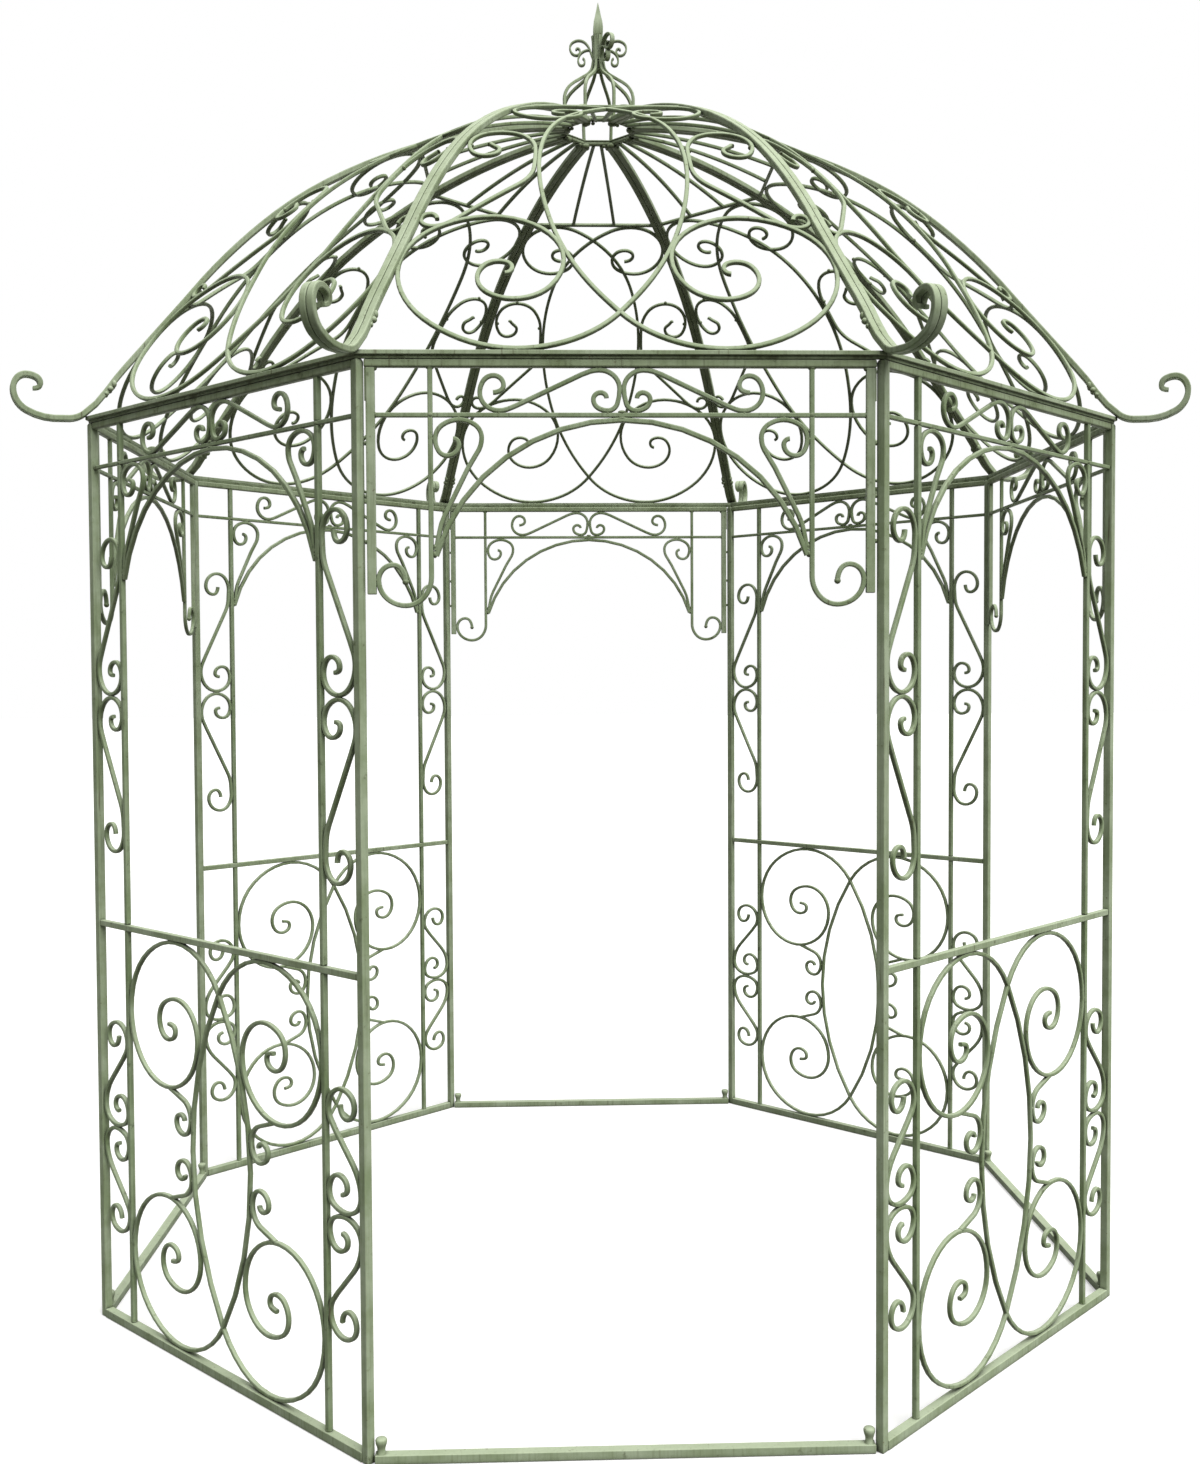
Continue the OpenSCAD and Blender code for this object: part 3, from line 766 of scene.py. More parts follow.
# %% Balustrade sizes
base_h = 20
rail_h = 14
rail_top = measure("balustrade_front_right", 1, 2)
rail_z = rail_top - rail_h
clear_h = rail_z - base_h
arris = 2.4
weld = 0.5
touch = scroll_w / 2 - weld
upright_w = 12
bar_arris = 2
upright_inset = 125
upright_x = side_len / 2 - upright_inset
upright_in = upright_x - upright_w / 2
upright_out = upright_x + upright_w / 2
strip_w = screen_half - upright_out
print(f"a balustrade is {rail_top:.0f} mm high, its side strips {strip_w:.0f} mm wide")

# %% Scroll layouts
great_half_w = 365
great_half_h = 446.5
great_waist_y = 356
great_scroll = [
    (-202, 264, 0), (-176, 250, 270), (-204, 229, 180), (-242, 270, 90), (-170, 322, 0),
    (-86, 240, 270), (-216, 122, 180), (-great_half_w, 272, 90), (-170, great_half_h, 0),
    (0, great_waist_y, 304), (111, 0, 270),
]
waist_curl = [
    (-200, 122, 345), (-117, 66, 270), (-147, 29, 180), (-176, 54, 90), (-157, 71, 0),
    (-143, 60, 270),
]
strip_edge = 4
strip_far_edge = 106
short_scroll = [
    (68, 212, 270), (45, 187, 180), (23, 212, 90), (62, 243, 0), (strip_far_edge, 200, 270),
    (84, 160, None), (31, 105, None), (4.5, 45, 270), (55, strip_edge, 0),
    (strip_far_edge, 38, 90), (74, 74, 180), (48, 52, 270), (64, 38, 0),
]
long_scroll = [
    (68, 323, 270), (50, 300, 180), (26, 325, 90), (66, 364, 0), (strip_far_edge, 317, 270),
    (94, 250, None), (21, 110, None), (4.5, 62, 270), (58, strip_edge, 0),
    (strip_far_edge, 47, 90), (79, 79, 180), (54, 58, 270), (68, 48, 0),
]
short_clear_h = 901
long_clear_h = 1062


def beside_post(line, stretch, middle):
    """A pair of scrolls, one over the other, in the strip beside the left post."""
    kx = (strip_w - 2 * touch) / (strip_far_edge - strip_edge)
    upper = placed(line, kx, stretch, touch - strip_edge * kx, touch - strip_edge * stretch)
    return [placed(one, dx=-screen_half, dy=middle) for one in (upper, flipped(upper))]


def forged_scrolls(name, lines):
    """Scroll bar along each of these lines."""
    return forged(name, lines, scroll_w, scroll_d, arris, bar_paint)


print("marks in the layouts:", [len(line) for line in (great_scroll, short_scroll, long_scroll)])

# %% [markdown]
# The layouts are placed in the panel, and the beads follow them: a bead is asked for by the
# station where two bars touch, so it stays in the joint when the layout is stretched.

# %% Balustrades
pair_drop = 10
middle = (base_h + rail_z) / 2
kx = (upright_in - touch) / great_half_w
ky = (clear_h / 2 - touch) / great_half_h
great = placed(over_and_under(great_scroll), kx, ky, 0, middle)
curls = [placed(one, kx, ky, 0, middle) for one in (waist_curl, flipped(waist_curl))]
pair = beside_post(short_scroll, clear_h / short_clear_h, middle - pair_drop)
lines = [great] + curls + pair
touches = [
    (great, 7, 1), (great, 8, 1), (great, -8, 1), (great, -9, 1), (pair[0], 4, 1), (pair[0], 9, -1),
    (pair[1], 4, -1), (pair[1], 9, 1), (pair[0], 8, -1), (curls[0], 1, 1), (curls[1], 1, -1),
]
beads = touch_beads(touches, 1) + touch_beads(touches, -1)
beads += [weld_bead(0, middle + sign * great_waist_y * ky, 14, 12) for sign in (1, -1)]
bars = [
    square_bar(-screen_half, 0, screen_half, base_h, base_h),
    square_bar(-screen_half, rail_z, screen_half, rail_top, rail_h),
]
for sign in (1, -1):
    bars.append(square_bar(
        sign * upright_in, base_h - weld, sign * upright_out, rail_z + weld, upright_w,
        bar_arris, bar_paint))
    beads += [weld_bead(sign * upright_x, height, 15, 7, 14) for height in (base_h + 1, rail_z - 1)]
scrolls = forged_scrolls("balustrade_scrolls", lines + [mirrored(line) for line in lines])
balustrade = put(joined("balustrade", [scrolls] + bars + beads), to_front_wall)
total_triangles += set_in_bays(balustrade, SCREENS, "balustrade", "balustrade")

# %% [markdown]
# ## Side grilles
# Above the handrail each screen is open in the middle. At each side an upright runs from the rail
# to the valance, and a pair of long scrolls fills the strip between it and the post. One grille is
# made for the left side and its mirrored copy serves the right side, because the two are the same
# but for their hand.

# %% Side grilles
eave_h = 16
frieze_h = 84.5
rod_w = 9
eave_under = wall_top - eave_h
rod_top = eave_under - frieze_h
rod_under = rod_top - rod_w
low = rail_top + seat
high = rod_under - seat
pair = beside_post(long_scroll, (high - low) / long_clear_h, (low + high) / 2)
grille_parts = [
    forged_scrolls("grille_scrolls", pair),
    square_bar(-upright_out, low, -upright_in, high, upright_w, bar_arris, bar_paint),
    weld_bead(-upright_x, low + 4, 14, 6, 14),
]
grille_parts += touch_beads(
    [(pair[0], 4, 1), (pair[0], 9, -1), (pair[1], 4, -1), (pair[1], 9, 1), (pair[0], 8, -1)], 1)
grille = put(joined("side_grille", grille_parts), to_front_wall)
for k, end in enumerate(SCREEN_ENDS):
    mirror = Matrix.Scale(-1, 4, (1, 0, 0)) if k % 2 else Matrix.Identity(4)
    piece = copy_of(grille, f"{end}_side_grille", turned(2 * (k // 2) + 1) @ mirror)
    total_triangles += stands_for(piece, f"side_grille_{end}")
bpy.data.objects.remove(grille)

# %% [markdown]
# ## Valances
# Every bay has an arched valance: the eave bar, a frieze of two scrolls over a rod, and an arch
# with a cane beside each foot. Over a doorway the valance is its own frame. A flat stile is bolted
# to each post with a small gap, and beside it hangs a rod that ends in a hook with a ball. Over a
# screen the valance simply ends at the posts and stands on the uprights. What both kinds share is
# made by one function, which only needs to know where its bars end.

# %% Valance layouts
arch_w = 10
arch_rise = 256
arch_lean = 73
eave_d = 15
eave_arris = 3.6
frieze_half = 358
frieze_drawn_h = 76.5
drawn_edge = 4
frieze_scroll = [
    (-244, 38, 0), (-224, 52, 90), (-243, 70, 180), (-269, 38, 270), (-233, drawn_edge, 0),
    (-201, 13, None), (-76, 72, None), (-42, drawn_edge + frieze_drawn_h, 0),
    (-drawn_edge, 45, 270), (-27, drawn_edge, 180), (-54, 25, 90), (-40, 38, 0), (-29, 28, 270),
]
cane = [
    (drawn_edge, -251, 77), (21, -185, None), (66, -95, None), (92, -38, 90),
    (49, -drawn_edge, 180), (drawn_edge, -41, 270), (27, -72, 0), (49, -51, 90), (38, -40, 180),
]
print(f"the frieze is drawn {frieze_half} mm to a side and fitted to each bay")


# %% A valance's arch and frieze
def arched_panel(half, half_span, rod_ends):
    """The eave bar, rod, frieze, arch and canes of a bay, and their weld beads."""
    kx = half_span / frieze_half
    ky = (frieze_h - 2 * touch) / frieze_drawn_h
    frieze = placed(
        frieze_scroll, kx, ky, drawn_edge * kx - touch, rod_top + touch - drawn_edge * ky)
    stick = placed(
        cane, 1, 1, touch - drawn_edge - half_span, rod_under + drawn_edge - touch)
    foot_x = arch_w / 2 - weld - half_span
    foot = (foot_x, rod_under - arch_rise - arch_w / 2, arch_lean)
    crown = (0, rod_under - arch_w / 2 + weld, 0)
    lines = [frieze, stick, mirrored(frieze), mirrored(stick)]
    parts = [
        square_bar(-half, eave_under, half, wall_top, eave_d, eave_arris, eave_paint),
        square_bar(-rod_ends, rod_under, rod_ends, rod_top, rod_w, bar_arris, bar_paint),
        forged_scrolls("frieze_and_canes", lines),
        forged("arch", [left_and_right([foot, crown])], arch_w, scroll_d, arris, bar_paint),
        weld_bead(0, rod_top + 1, 16, 8),
        weld_bead(0, rod_under - 1, 20, 6),
    ]
    touches = [(frieze, 4, -1), (frieze, 7, 1), (frieze, 9, 1), (stick, 4, -1), (stick, 5, -1)]
    for sign in (1, -1):
        parts += touch_beads(touches, sign)
        parts.append(weld_bead(-sign * (half_span - 2), rod_under - arch_rise - 2, 9, 15))
        parts.append(weld_bead(-sign * (half_span - 3), rod_under - arch_rise + 12, 8, 12))
    return parts


# %% [markdown]
# A stile is held 3 mm off its post. Short bolts cross the gap, and just under the eave bar a thin
# strip packs it out. Light shows through the rest, so the gap has to be a real one.

# %% Stiles, hangers and their bolts
stile_len = 443
stile_w = 17
stile_d = 12
stile_arris = 1.6
stile_gap = 3
stile_out = doorway_half - stile_gap
stile_in = stile_out - stile_w
bolt_r = 4.2
bolt_drops = (158, 258, 344)
packing_len = 78
packing_d = 7
packing_arris = 0.6
hanger_inset = 137
hanger_x = side_len / 2 - hanger_inset
hanger_w = 10
hanging_rod_w = scroll_w + 0.5
hook_drop = 301
hook_drawn_w = 102
hook = [(0, 0, 270), (-50, -54, 180), (-hook_drawn_w, -6, 90), (-74, 23, 0), (-50, -9, 270)]
hook_reach = (stile_in - hanger_x - touch) / hook_drawn_w
ball_w = 13


def spacer_bolt(side, height):
    """The short bolt that shows in the gap between a stile and its post."""
    bpy.ops.object.select_all(action="DESELECT")
    middle = side * (stile_out + stile_gap / 2) * MM
    bpy.ops.mesh.primitive_cylinder_add(
        vertices=12, radius=bolt_r * MM, depth=(stile_gap + 1) * MM,
        location=(middle, height * MM, 0), rotation=(0, math.radians(90), 0))
    bpy.ops.object.transform_apply(location=True, rotation=True, scale=True)
    bolt = bpy.context.object
    bolt.data.materials.append(weld_paint)
    bpy.ops.object.shade_smooth_by_angle(angle=math.radians(50))
    return bolt


print(f"a stile is {stile_len} mm long and stands {stile_gap} mm off its post")

# %% Doorway valances
rod_middle = (rod_top + rod_under) / 2
parts = arched_panel(doorway_half, hanger_x - hanger_w / 2, stile_in)
for sign in (1, -1):
    rod_hook = placed(hook, hook_reach, 1, -hanger_x, rod_under - hook_drop)
    tip_x, tip_y = rod_hook[-1][:2]
    rod_hook = [(-hanger_x, eave_under + weld, 270)] + rod_hook
    side_y = rod_hook[3][1]
    rod_hook = mirrored(rod_hook) if sign < 0 else rod_hook
    parts += [
        forged("hanging_rod", [rod_hook], hanging_rod_w, scroll_d, arris, bar_paint),
        square_bar(
            -sign * stile_out, wall_top - stile_len, -sign * stile_in, eave_under + weld, stile_d,
            stile_arris),
        square_bar(
            -sign * (stile_out + stile_gap - seat), wall_top - packing_len,
            -sign * (stile_out - 1), eave_under, packing_d, packing_arris),
        weld_bead(sign * tip_x, tip_y, ball_w, ball_w, ball_w),
        weld_bead(-sign * hanger_x, rod_middle, 15, 15, 13),
        weld_bead(-sign * hanger_x, eave_under, 16, 8, 13),
        weld_bead(-sign * stile_in, eave_under - 1, 10, 10, 11),
        weld_bead(-sign * (stile_in - 1), rod_middle, 6, 12, 11),
        weld_bead(-sign * (stile_in - 1), side_y, 7, 12, 11),
    ]
    parts += [spacer_bolt(sign, wall_top - drop) for drop in bolt_drops]
doorway_valance = put(joined("doorway_valance", parts), to_front_wall)
total_triangles += set_in_bays(doorway_valance, DOORWAYS, "valance", "valance")

# %% Screen valances
parts = arched_panel(screen_half, upright_in, screen_half)
for sign in (1, -1):
    parts += [
        square_bar(
            -sign * upright_out, rod_top - weld, -sign * upright_in, eave_under + weld, upright_w,
            bar_arris, bar_paint),
        weld_bead(-sign * upright_x, eave_under, 17, 8, 14),
        weld_bead(-sign * upright_x, rod_middle, 16, 14, 14),
    ]
screen_valance = put(joined("screen_valance", parts), to_front_wall)
total_triangles += set_in_bays(screen_valance, SCREENS, "valance", "valance")

# %% [markdown]
# ## Roof gores
# The dome is eight bowed panels. Each has a tube up both edges that runs out below into a horn, a
# bar along its foot, a short bar under the crown, and scrollwork that follows the dome. Two edge
# tubes lie side by side on every rib. The scrollwork is drawn flat and forged flat, as the smith
# does, and then its points are bent over the dome's profile, which keeps every bar's section true.

# %% The dome's profile
narrow = math.cos(HALF_BAY)
roof_z = wall_top + seat
gore_bar = 15
roof_overhang = 7
foot_apothem = apothem + roof_overhang
crown_r = 98
crown_bar = 9
tube_w = 16
tube_t = 14
gore_t = 9
crown_top = measure("crown_ring", 0, 2) - seat
crown_z = crown_top - weld - tube_t / 2
drawn_corner_r = 1306.5
drawn_wall_top = 2118
drawn_rise = 860
rib_dome = [
    (98, 2978, -7), (600, 2828, -26), (870, 2656, -40.5), (1046, 2478, -50), (1092, 2421, None),
    (1229, 2255, None),
]
horn = [
    (1326, 2138, -38), (1392, 2124, 0), (1479, 2186, 90), (1449, 2221, 180), (1420, 2201, 270),
    (1436, 2190, 0),
]
kr = (corner_r - crown_r) / (drawn_corner_r - crown_r)
kz = (crown_z - wall_top) / drawn_rise
dome_line = placed(rib_dome, kr, kz, crown_r * (1 - kr), wall_top - drawn_wall_top * kz)
horn_line = placed(horn, 1, 1, corner_r - drawn_corner_r, wall_top - drawn_wall_top)
gore_line = placed(with_headings(dome_line), narrow, 1)
gore_line.append((foot_apothem, roof_z + gore_bar - weld, 297))
print(f"the dome rises {crown_z - wall_top:.0f} mm over the walls")

# %% [markdown]
# Bending needs the dome's profile as a table: for each point of it, how far up the flat drawing it
# is met, and which way the dome's surface faces there. The flat drawing leans in at 40 degrees
# from the foot of the gore. A curve modifier could bend it too, but it would bend by length along
# the curve, and the drawing is measured along its own slope.

# %% Bending the scrollwork over the dome
lean = math.radians(40)
PROFILE_STEP = 12


def up_the_slope(r, z):
    """How far up the flat drawing a point of the dome is met."""
    return (foot_apothem - r) * math.cos(lean) + (z - roof_z - gore_bar) * math.sin(lean)


layout_len = up_the_slope(crown_r * narrow, crown_z)
profile = []
for r, z, course in trail(gore_line, PROFILE_STEP):
    out = math.radians(course + 90)
    profile.append((up_the_slope(r, z), r, z, math.cos(out), math.sin(out)))
profile.sort()


def on_dome(up):
    """The profile's point, and the direction out of the dome there, for a height on the drawing."""
    up = min(max(up, profile[0][0]), profile[-1][0])
    i = next(i for i in range(1, len(profile)) if profile[i][0] >= up)
    a, b = profile[i - 1], profile[i]
    share = (up - a[0]) / (b[0] - a[0])
    return [p + (q - p) * share for p, q in zip(a, b)][1:]


def bend_over_dome(piece):
    """Moves each point of a flat drawing in the XY plane onto the front gore of the dome."""
    for vertex in piece.data.vertices:
        x, up, out = (value / MM for value in vertex.co)
        r, z, out_r, out_z = on_dome(up)
        vertex.co = (x * MM, -(r + out * out_r) * MM, (z + out * out_z) * MM)
    return close_up(piece)


print(f"the flat drawing is {layout_len:.0f} mm long, its profile has {len(profile)} points")

# %% Gore scrollwork
gore_drawn_half = 1214
gore_drawn_len = 1394
upper_cross = 981
lower_cross = 93
collar_up = 1045
collar_end = 190
rod_low_x = 61
rod_high_x = 10
BEND_STEP = 22
roof_scroll = [
    (98, 896, 0), (124, 918, 90), (98, 941, 180), (60, 900, 270), (130, 846, 0), (214, 935, 90),
    (112, 1036, 180), (0, upper_cross, 222), (-156, 561, 270), (0, lower_cross, 309),
    (200, 4, 0), (433, 209, 90), (250, 377, 180), (107, 248, 270), (207, 129, 0),
    (277, 191, 90), (236, 240, 180), (209, 220, 270), (223, 204, 0),
]
side_scroll = [
    (-262, 659, 90), (-252, 650, 315), (-240, 632, 270), (-272, 604, 180), (-305, 652, 90),
    (-236, 728, 0), (-163, 634, 270), (-198, 487, None), (-318, 374, None), (-372, 346, 180),
    (-395, 366, 90), (-376, 384, 0), (-362, 369, 270),
]
kx = foot_apothem / gore_drawn_half
kq = layout_len / gore_drawn_len
collar = collar_up * kq
great, small = (placed(line, kx, kq) for line in (roof_scroll, side_scroll))
rod = [(rod_low_x * kx, collar, None), (rod_high_x, layout_len, None)]
lines = [line for one in (great, small, rod) for line in (one, mirrored(one))]
lines.append([(-collar_end * kx, collar, None), (collar_end * kx, collar, None)])
gore_bars = bend_over_dome(
    forged("gore_scrollwork", lines, scroll_w, gore_t, arris, bar_paint, longest=BEND_STEP))

# %% Beads on the scrollwork
touches = [
    (great, 6, -1), (great, 10, -1), (great, 11, -1), (small, 4, -1), (small, 5, 1), (small, 6, -1),
    (small, 10, 1),
]
beads = []
for sign in (1, -1):
    beads += touch_beads(touches, sign, 10)
    beads.append(weld_bead(sign * rod_low_x * kx, collar, 12, 10, 10))
beads += [
    weld_bead(0, up * kq, width, 14, 10) for up, width in ((upper_cross, 14), (lower_cross, 12))]
gore_beads = bend_over_dome(joined("gore_beads", beads))
print("beads on a gore's scrollwork:", len(beads))

# %% [markdown]
# The foot bar and the crown bar are cut at the planes of the ribs, so that neighbouring gores meet
# in a mitre. The foot bar has a rebate along its lower front edge, which shows as a dark line over
# the eave. Cutting it out of one bar takes a boolean, so the bar is two instead: a tube, and under
# it a tongue that is set back and has the darker weld-bead paint, as painted shade in the rebate.


# %% Mitred bars
def mitred_bar(middle_r, z, height, depth, corner, material):
    """A bar across the front gore whose ends are cut along the planes of its two ribs."""
    gap = seat / 2 / math.cos(HALF_BAY)
    half = (middle_r + depth / 2) * math.tan(HALF_BAY) * 1.1
    bar = square_bar(-half, z, half, z + height, depth, corner, material)
    put(bar, moved(y=-middle_r) @ STOOD_UP)
    pick(bar)
    bpy.ops.object.mode_set(mode="EDIT")
    for side in (-1, 1):
        bpy.ops.mesh.select_all(action="SELECT")
        facing = (side * math.cos(HALF_BAY), math.sin(HALF_BAY), 0)
        bpy.ops.mesh.bisect(
            plane_co=(-side * gap * MM, 0, 0), plane_no=facing, use_fill=True, clear_outer=True)
    bpy.ops.object.mode_set(mode="OBJECT")
    return close_up(bar)


rebate = 6.5
foot_arris, tongue_arris, crown_arris = 1.4, 0.6, 3
foot_bar = mitred_bar(
    foot_apothem, roof_z + rebate - seat, gore_bar - rebate + seat, gore_bar, foot_arris,
    tube_paint)
# The tongue takes the darker weld-bead paint as painted shade in the rebate.
foot_tongue = mitred_bar(
    foot_apothem - rebate / 2, roof_z, rebate, gore_bar - rebate, tongue_arris, weld_paint)
top_bar = mitred_bar(
    crown_r * narrow, crown_top - crown_bar, crown_bar, gore_bar, crown_arris, tube_paint)
print(f"the rebate is {rebate} mm deep")

# %% [markdown]
# A gore is welded up by hand. Large lumps of weld sit inside its edge tubes, a little above the
# foot bar and under the crown, and more of them under the crown bar. They are made like the small
# beads, and the ones on the tubes are painted over like the tube.

# %% Lumps of weld on a gore
rib_lumps = [
    (72, (16, 15, 14)), (86, (12, 12, 18)), (59, (9, 12, 11)), (layout_len - 12, (15, 13, 16)),
]
crown_lumps = [(-1, 4, (17, 20, 14)), (1, 7, (21, 16, 16)), (-0.55, 6, (11, 10, 9))]
into_tube = 3
in_from_rib = 6
under_crown_bar = 4


def rib_weld(side, up, size):
    """A painted lump of weld on the inner side of an edge tube, at a height on the flat drawing."""
    r, z = on_dome(up)[:2]
    beside = r * math.tan(HALF_BAY) - (tube_w + seat) / math.cos(HALF_BAY) + into_tube
    bead = weld_bead(0, 0, *size)
    bead.data.materials[0] = tube_paint
    return put(bead, moved(side * beside, -r, z))


def crown_weld(side, inward, size):
    """A lump under the crown bar. side is its place from the left rib (-1) to the right (1)."""
    corner = side * (crown_r * narrow * math.tan(HALF_BAY) - in_from_rib)
    bead = weld_bead(0, 0, *size)
    low = crown_top - crown_bar - under_crown_bar
    return put(bead, moved(corner, inward - crown_r * narrow, low))


lumps = [rib_weld(side, up, size) for side in (-1, 1) for up, size in rib_lumps]
lumps += [crown_weld(*lump) for lump in crown_lumps]
print("lumps of weld on a gore:", len(lumps))

# %% [markdown]
# The edge tube is forged in the plane of its rib. Down the rib it gets a little slimmer, and in
# the horn it is drawn down to six tenths, as a smith thins a bar before the last curl. Every rib
# has a pair of tubes, so each one lies half its width to one side of the rib's plane.

# %% Edge tubes
HORN_SHARE = 0.2
RIB_STEP = 60
rib_arris = 2.8


def drawn_down(share):
    """Full thickness at the crown, a tenth less where the horn begins, and 0.6 at its tip."""
    into_horn = max(0, (share - (1 - HORN_SHARE)) / HORN_SHARE)
    return 1 - 0.1 * share - 0.3 * into_horn ** 1.4


def edge_tube(side):
    """The left (-1) or right (1) edge of the front gore, with its horn."""
    lie = side * (tube_w + seat) / 2
    tube = forged(
        "edge_tube", [dome_line + horn_line], tube_t, tube_w, rib_arris, tube_paint, RIB_STEP,
        drawn_down, lie)
    return put(tube, Matrix.Rotation(side * HALF_BAY - math.radians(90), 4, "Z") @ STOOD_UP)


# %% Roof gores
gore_parts = [gore_bars, gore_beads, edge_tube(-1), edge_tube(1), foot_bar, foot_tongue, top_bar]
gore = joined("roof_gore", gore_parts + lumps)
total_triangles += set_in_bays(gore, BAYS, "roof_gore", "roof_gore")

# %% [markdown]
# ## Crown ring
# The ribs end at an eight-sided ring of flat bar. It could be eight mitred bars, but one piece has
# no seams to hide. So an eight-sided cylinder is inset and its middle is bridged through, which
# leaves the ring, and its arrises are bevelled.

# %% Crown ring
ring_low = measure("crown_ring", 0, 2)
ring_high = measure("crown_ring", 1, 2)
ring_r = crown_r + 5
ring_w = 14
ring_arris = 1.5
bpy.ops.object.select_all(action="DESELECT")
bpy.ops.mesh.primitive_cylinder_add(
    vertices=8, radius=ring_r * MM, depth=(ring_high - ring_low) * MM,
    location=(0, 0, (ring_low + ring_high) / 2 * MM))
ring = bpy.context.object
bpy.ops.object.transform_apply(location=True, rotation=True, scale=True)
turn = math.atan2(ring.data.vertices[0].co.y, ring.data.vertices[0].co.x)
put(ring, Matrix.Rotation(HALF_BAY - turn, 4, "Z"))
bpy.ops.object.mode_set(mode="EDIT")
bpy.ops.mesh.select_all(action="DESELECT")
bpy.ops.object.mode_set(mode="OBJECT")
for face in ring.data.polygons:
    face.select = abs(face.normal.z) > 0.9
bpy.ops.object.mode_set(mode="EDIT")
bpy.ops.mesh.select_mode(type="FACE")
bpy.ops.mesh.inset(thickness=ring_w * math.cos(HALF_BAY) * MM)
bpy.ops.mesh.bridge_edge_loops()
bpy.ops.mesh.select_all(action="SELECT")
bpy.ops.mesh.normals_make_consistent(inside=False)
bpy.ops.mesh.select_all(action="SELECT")
bpy.ops.mesh.bevel(offset=ring_arris * MM, segments=2, affect="EDGES")
bpy.ops.object.mode_set(mode="OBJECT")
ring.data.materials.append(tube_paint)
bpy.ops.object.shade_smooth_by_angle(angle=math.radians(40))
ring = joined("octagonal_crown_ring", [ring])
total_triangles += stands_for(ring, "crown_ring")

# %% [markdown]
# ## Finial
# Eight bars rise from the corners of the ring and close in like an onion. Where they meet, a
# turned core holds them. Four pairs of flat-bar scrolls spread out from it, and five leaves clasp
# it under a spear. The smith set scrolls and leaves by eye, so they aren't evenly spaced. Each part
# is made once in a plane through the axis, and copies of it are turned round the axis.

# %% The finial's basket
finial_low = measure("finial", 0, 2)
basket_bar = [
    (93, 0, 86), (96, 64, 92), (76, 106, 138), (32, 138, 140), (15, 166, 96), (13, 180, 90),
]
basket_w = 8
foot_stretch = (ring_r - ring_w / 2) / basket_bar[0][0]


def round_the_axis(piece, turns):
    """Copies of a piece that stands in the XZ plane, turned by these degrees round the axis."""
    copies = []
    for turn in turns:
        matrix = Matrix.Rotation(math.radians(turn), 4, "Z")
        copies.append(copy_of(piece, f"{piece.name}_{turn:.0f}", matrix))
    bpy.data.objects.remove(piece)
    return copies


basket_line = placed(basket_bar, foot_stretch)
basket = put(
    forged("basket_bar", [basket_line], basket_w, basket_w, TUBE_ARRIS, tube_paint), STOOD_UP)
parts = round_the_axis(basket, [22.5 + 45 * k for k in range(8)])

# %% Its scrolls, core and leaves
upper_volute = [
    (12, 172, 90), (21, 206, 74), (50, 232, 0), (73, 212, 270), (57, 193, 180), (47, 203, 90),
    (53, 211, 0), (57, 207, 270),
]
lower_volute = [(20, 207, 6), (52, 179, 270), (43, 166, 180), (35, 175, 90), (40, 185, 20)]
volute_turns = [0, 90, 180, 298]
volute_t, volute_w = 4.6, 13
core_profile = [(11, 166), (13, 172), (14, 182), (14, 232), (13.2, 240), (12.4, 244)]
leaf_line = [(14.5, 178, 88), (14.2, 212, 90), (16.5, 243, 80)]
leaf_turns = [20, 110, 200, 247, 290]
leaf_t, leaf_w = 4, 11
flat_arris = 1.2
volute_lines = [placed(line, foot_stretch) for line in (upper_volute, lower_volute)]
volutes = put(
    forged("volutes", volute_lines, volute_t, volute_w, flat_arris, tube_paint), STOOD_UP)
parts += round_the_axis(volutes, volute_turns)
core = turned_knob(0, core_profile)
leaf = put(forged("leaf", [leaf_line], leaf_t, leaf_w, flat_arris, tube_paint), STOOD_UP)
parts += [core] + round_the_axis(leaf, leaf_turns)

# %% [markdown]
# The spear is four-sided, so it isn't turned. A square bar is cut at each height of its outline,
# and the points are drawn in to the outline's half width there.

# %% Its spear
spear_profile = [(11, 243), (12.7, 250), (13, 264), (11.6, 279), (8.6, 292), (4.4, 313), (0.5, 333)]
spear_half = max(half for half, height in spear_profile)
spear_arris = 0.6
spear = square_bar(
    -spear_half, spear_profile[0][1], spear_half, spear_profile[-1][1], 2 * spear_half, spear_arris)
pick(spear)
bpy.ops.object.mode_set(mode="EDIT")
for _, height in spear_profile[1:-1]:
    bpy.ops.mesh.select_all(action="SELECT")
    bpy.ops.mesh.bisect(plane_co=(0, height * MM, 0), plane_no=(0, 1, 0))
bpy.ops.object.mode_set(mode="OBJECT")
for vertex in spear.data.vertices:
    height = vertex.co.y / MM
    for (r0, h0), (r1, h1) in zip(spear_profile, spear_profile[1:]):
        if h0 <= height <= h1 + 0.01:
            half = r0 + (r1 - r0) * (height - h0) / (h1 - h0)
    vertex.co.x *= half / spear_half
    vertex.co.z *= half / spear_half
parts.append(put(spear, STOOD_UP))
finial = put(joined("crowning_finial", parts), moved(z=finial_low))
total_triangles += stands_for(finial, "finial")
print("triangles in all:", total_triangles)

# %% [markdown]
# ## Floor and light
# The studio is a pale floor under a white sky. The lamps stay at a plain level, so that the paint
# looks about as it is written: a broad soft sun from above, and a weaker one from behind the
# camera. Straight to the camera, and in shiny things, the floor is nearly white and the sky is
# white. For every other ray the floor is a dull grey and the sky is faint, so that the undersides
# of the bars stay as dark as they are over a lawn.

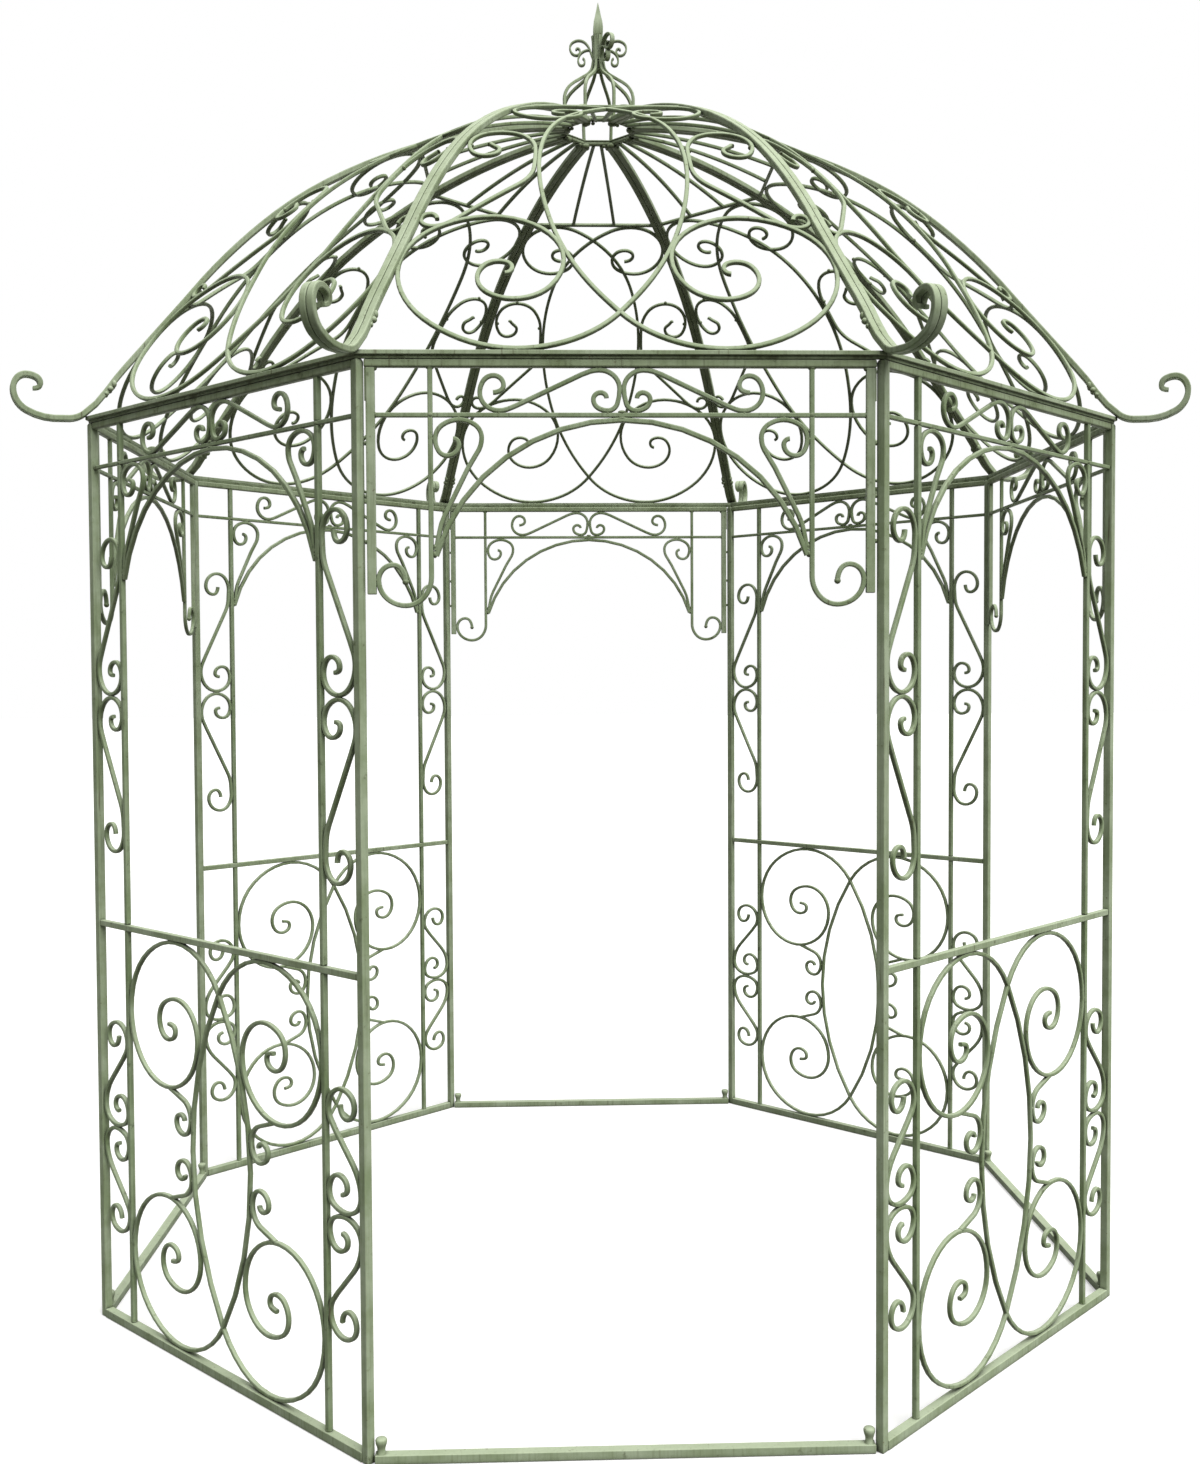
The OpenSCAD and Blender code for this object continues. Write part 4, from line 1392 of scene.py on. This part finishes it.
# %% What the camera and shiny things see
def seen_directly(tree):
    """1 for rays from the camera, off gloss and through glass, and 0 for all others."""
    path = node(tree, "ShaderNodeLightPath")
    shiny = node(tree, "ShaderNodeMath", {
        0: path.outputs["Is Glossy Ray"], 1: path.outputs["Is Transmission Ray"]},
        operation="MAXIMUM")
    seen = node(tree, "ShaderNodeMath", {
        0: path.outputs["Is Camera Ray"], 1: shiny.outputs[0]}, operation="MAXIMUM")
    return seen.outputs[0]


print("the floor and the sky each get a pale and a dull look")

# %% Floor
FLOOR_WIDTH = 120
bpy.ops.object.select_all(action="DESELECT")
bpy.ops.mesh.primitive_plane_add(size=FLOOR_WIDTH, location=(0, 0, -1 * MM))
floor = bpy.context.object
floor.name = "floor"
floor_material = bpy.data.materials.new("pale_studio_floor")
floor_material.use_nodes = True
tree = floor_material.node_tree
tree.nodes.clear()
seen = seen_directly(tree)
pale = node(tree, "ShaderNodeBsdfDiffuse", {"Color": srgb("#e6e6e4")})
lift = node(tree, "ShaderNodeEmission", {"Color": srgb("#ffffff"), "Strength": 0.35})
pale_lit = node(tree, "ShaderNodeAddShader", {0: pale.outputs[0], 1: lift.outputs[0]})
dull = node(tree, "ShaderNodeBsdfDiffuse", {"Color": srgb("#3c3d36")})
mixed = node(tree, "ShaderNodeMixShader", {0: seen, 1: dull.outputs[0], 2: pale_lit.outputs[0]})
node(tree, "ShaderNodeOutputMaterial", {"Surface": mixed.outputs[0]})
floor.data.materials.append(floor_material)
print(f"a floor {FLOOR_WIDTH} m wide")

# %% Sky
world = bpy.data.worlds.new("studio")
bpy.context.scene.world = world
world.use_nodes = True
tree = world.node_tree
tree.nodes.clear()
seen = seen_directly(tree)
backdrop = node(tree, "ShaderNodeBackground", {"Color": srgb("#ffffff"), "Strength": 1.0})
ambient = node(tree, "ShaderNodeBackground", {"Color": srgb("#ffffff"), "Strength": 0.14})
mixed = node(tree, "ShaderNodeMixShader", {0: seen, 1: ambient.outputs[0], 2: backdrop.outputs[0]})
node(tree, "ShaderNodeOutputWorld", {"Surface": mixed.outputs[0]})
print("the world has", len(tree.nodes), "nodes")


# %% Lamps
def soft_sun(name, strength, spread, tilt, turn):
    """A broad lamp. tilt is its angle from straight overhead and turn its compass bearing."""
    data = bpy.data.lights.new(name, "SUN")
    data.energy = strength
    data.angle = math.radians(spread)
    lamp = bpy.data.objects.new(name, data)
    bearing = Matrix.Rotation(math.radians(turn), 4, "Z")
    lamp.matrix_world = bearing @ Matrix.Rotation(math.radians(tilt), 4, "X")
    bpy.context.scene.collection.objects.link(lamp)
    print(f"{name}: strength {strength}, {spread} degrees broad")


soft_sun("overhead_light", strength=3.0, spread=50, tilt=20, turn=30)
soft_sun("front_light", strength=1.5, spread=35, tilt=62, turn=32)
bpy.context.scene.view_settings.view_transform = "Standard"
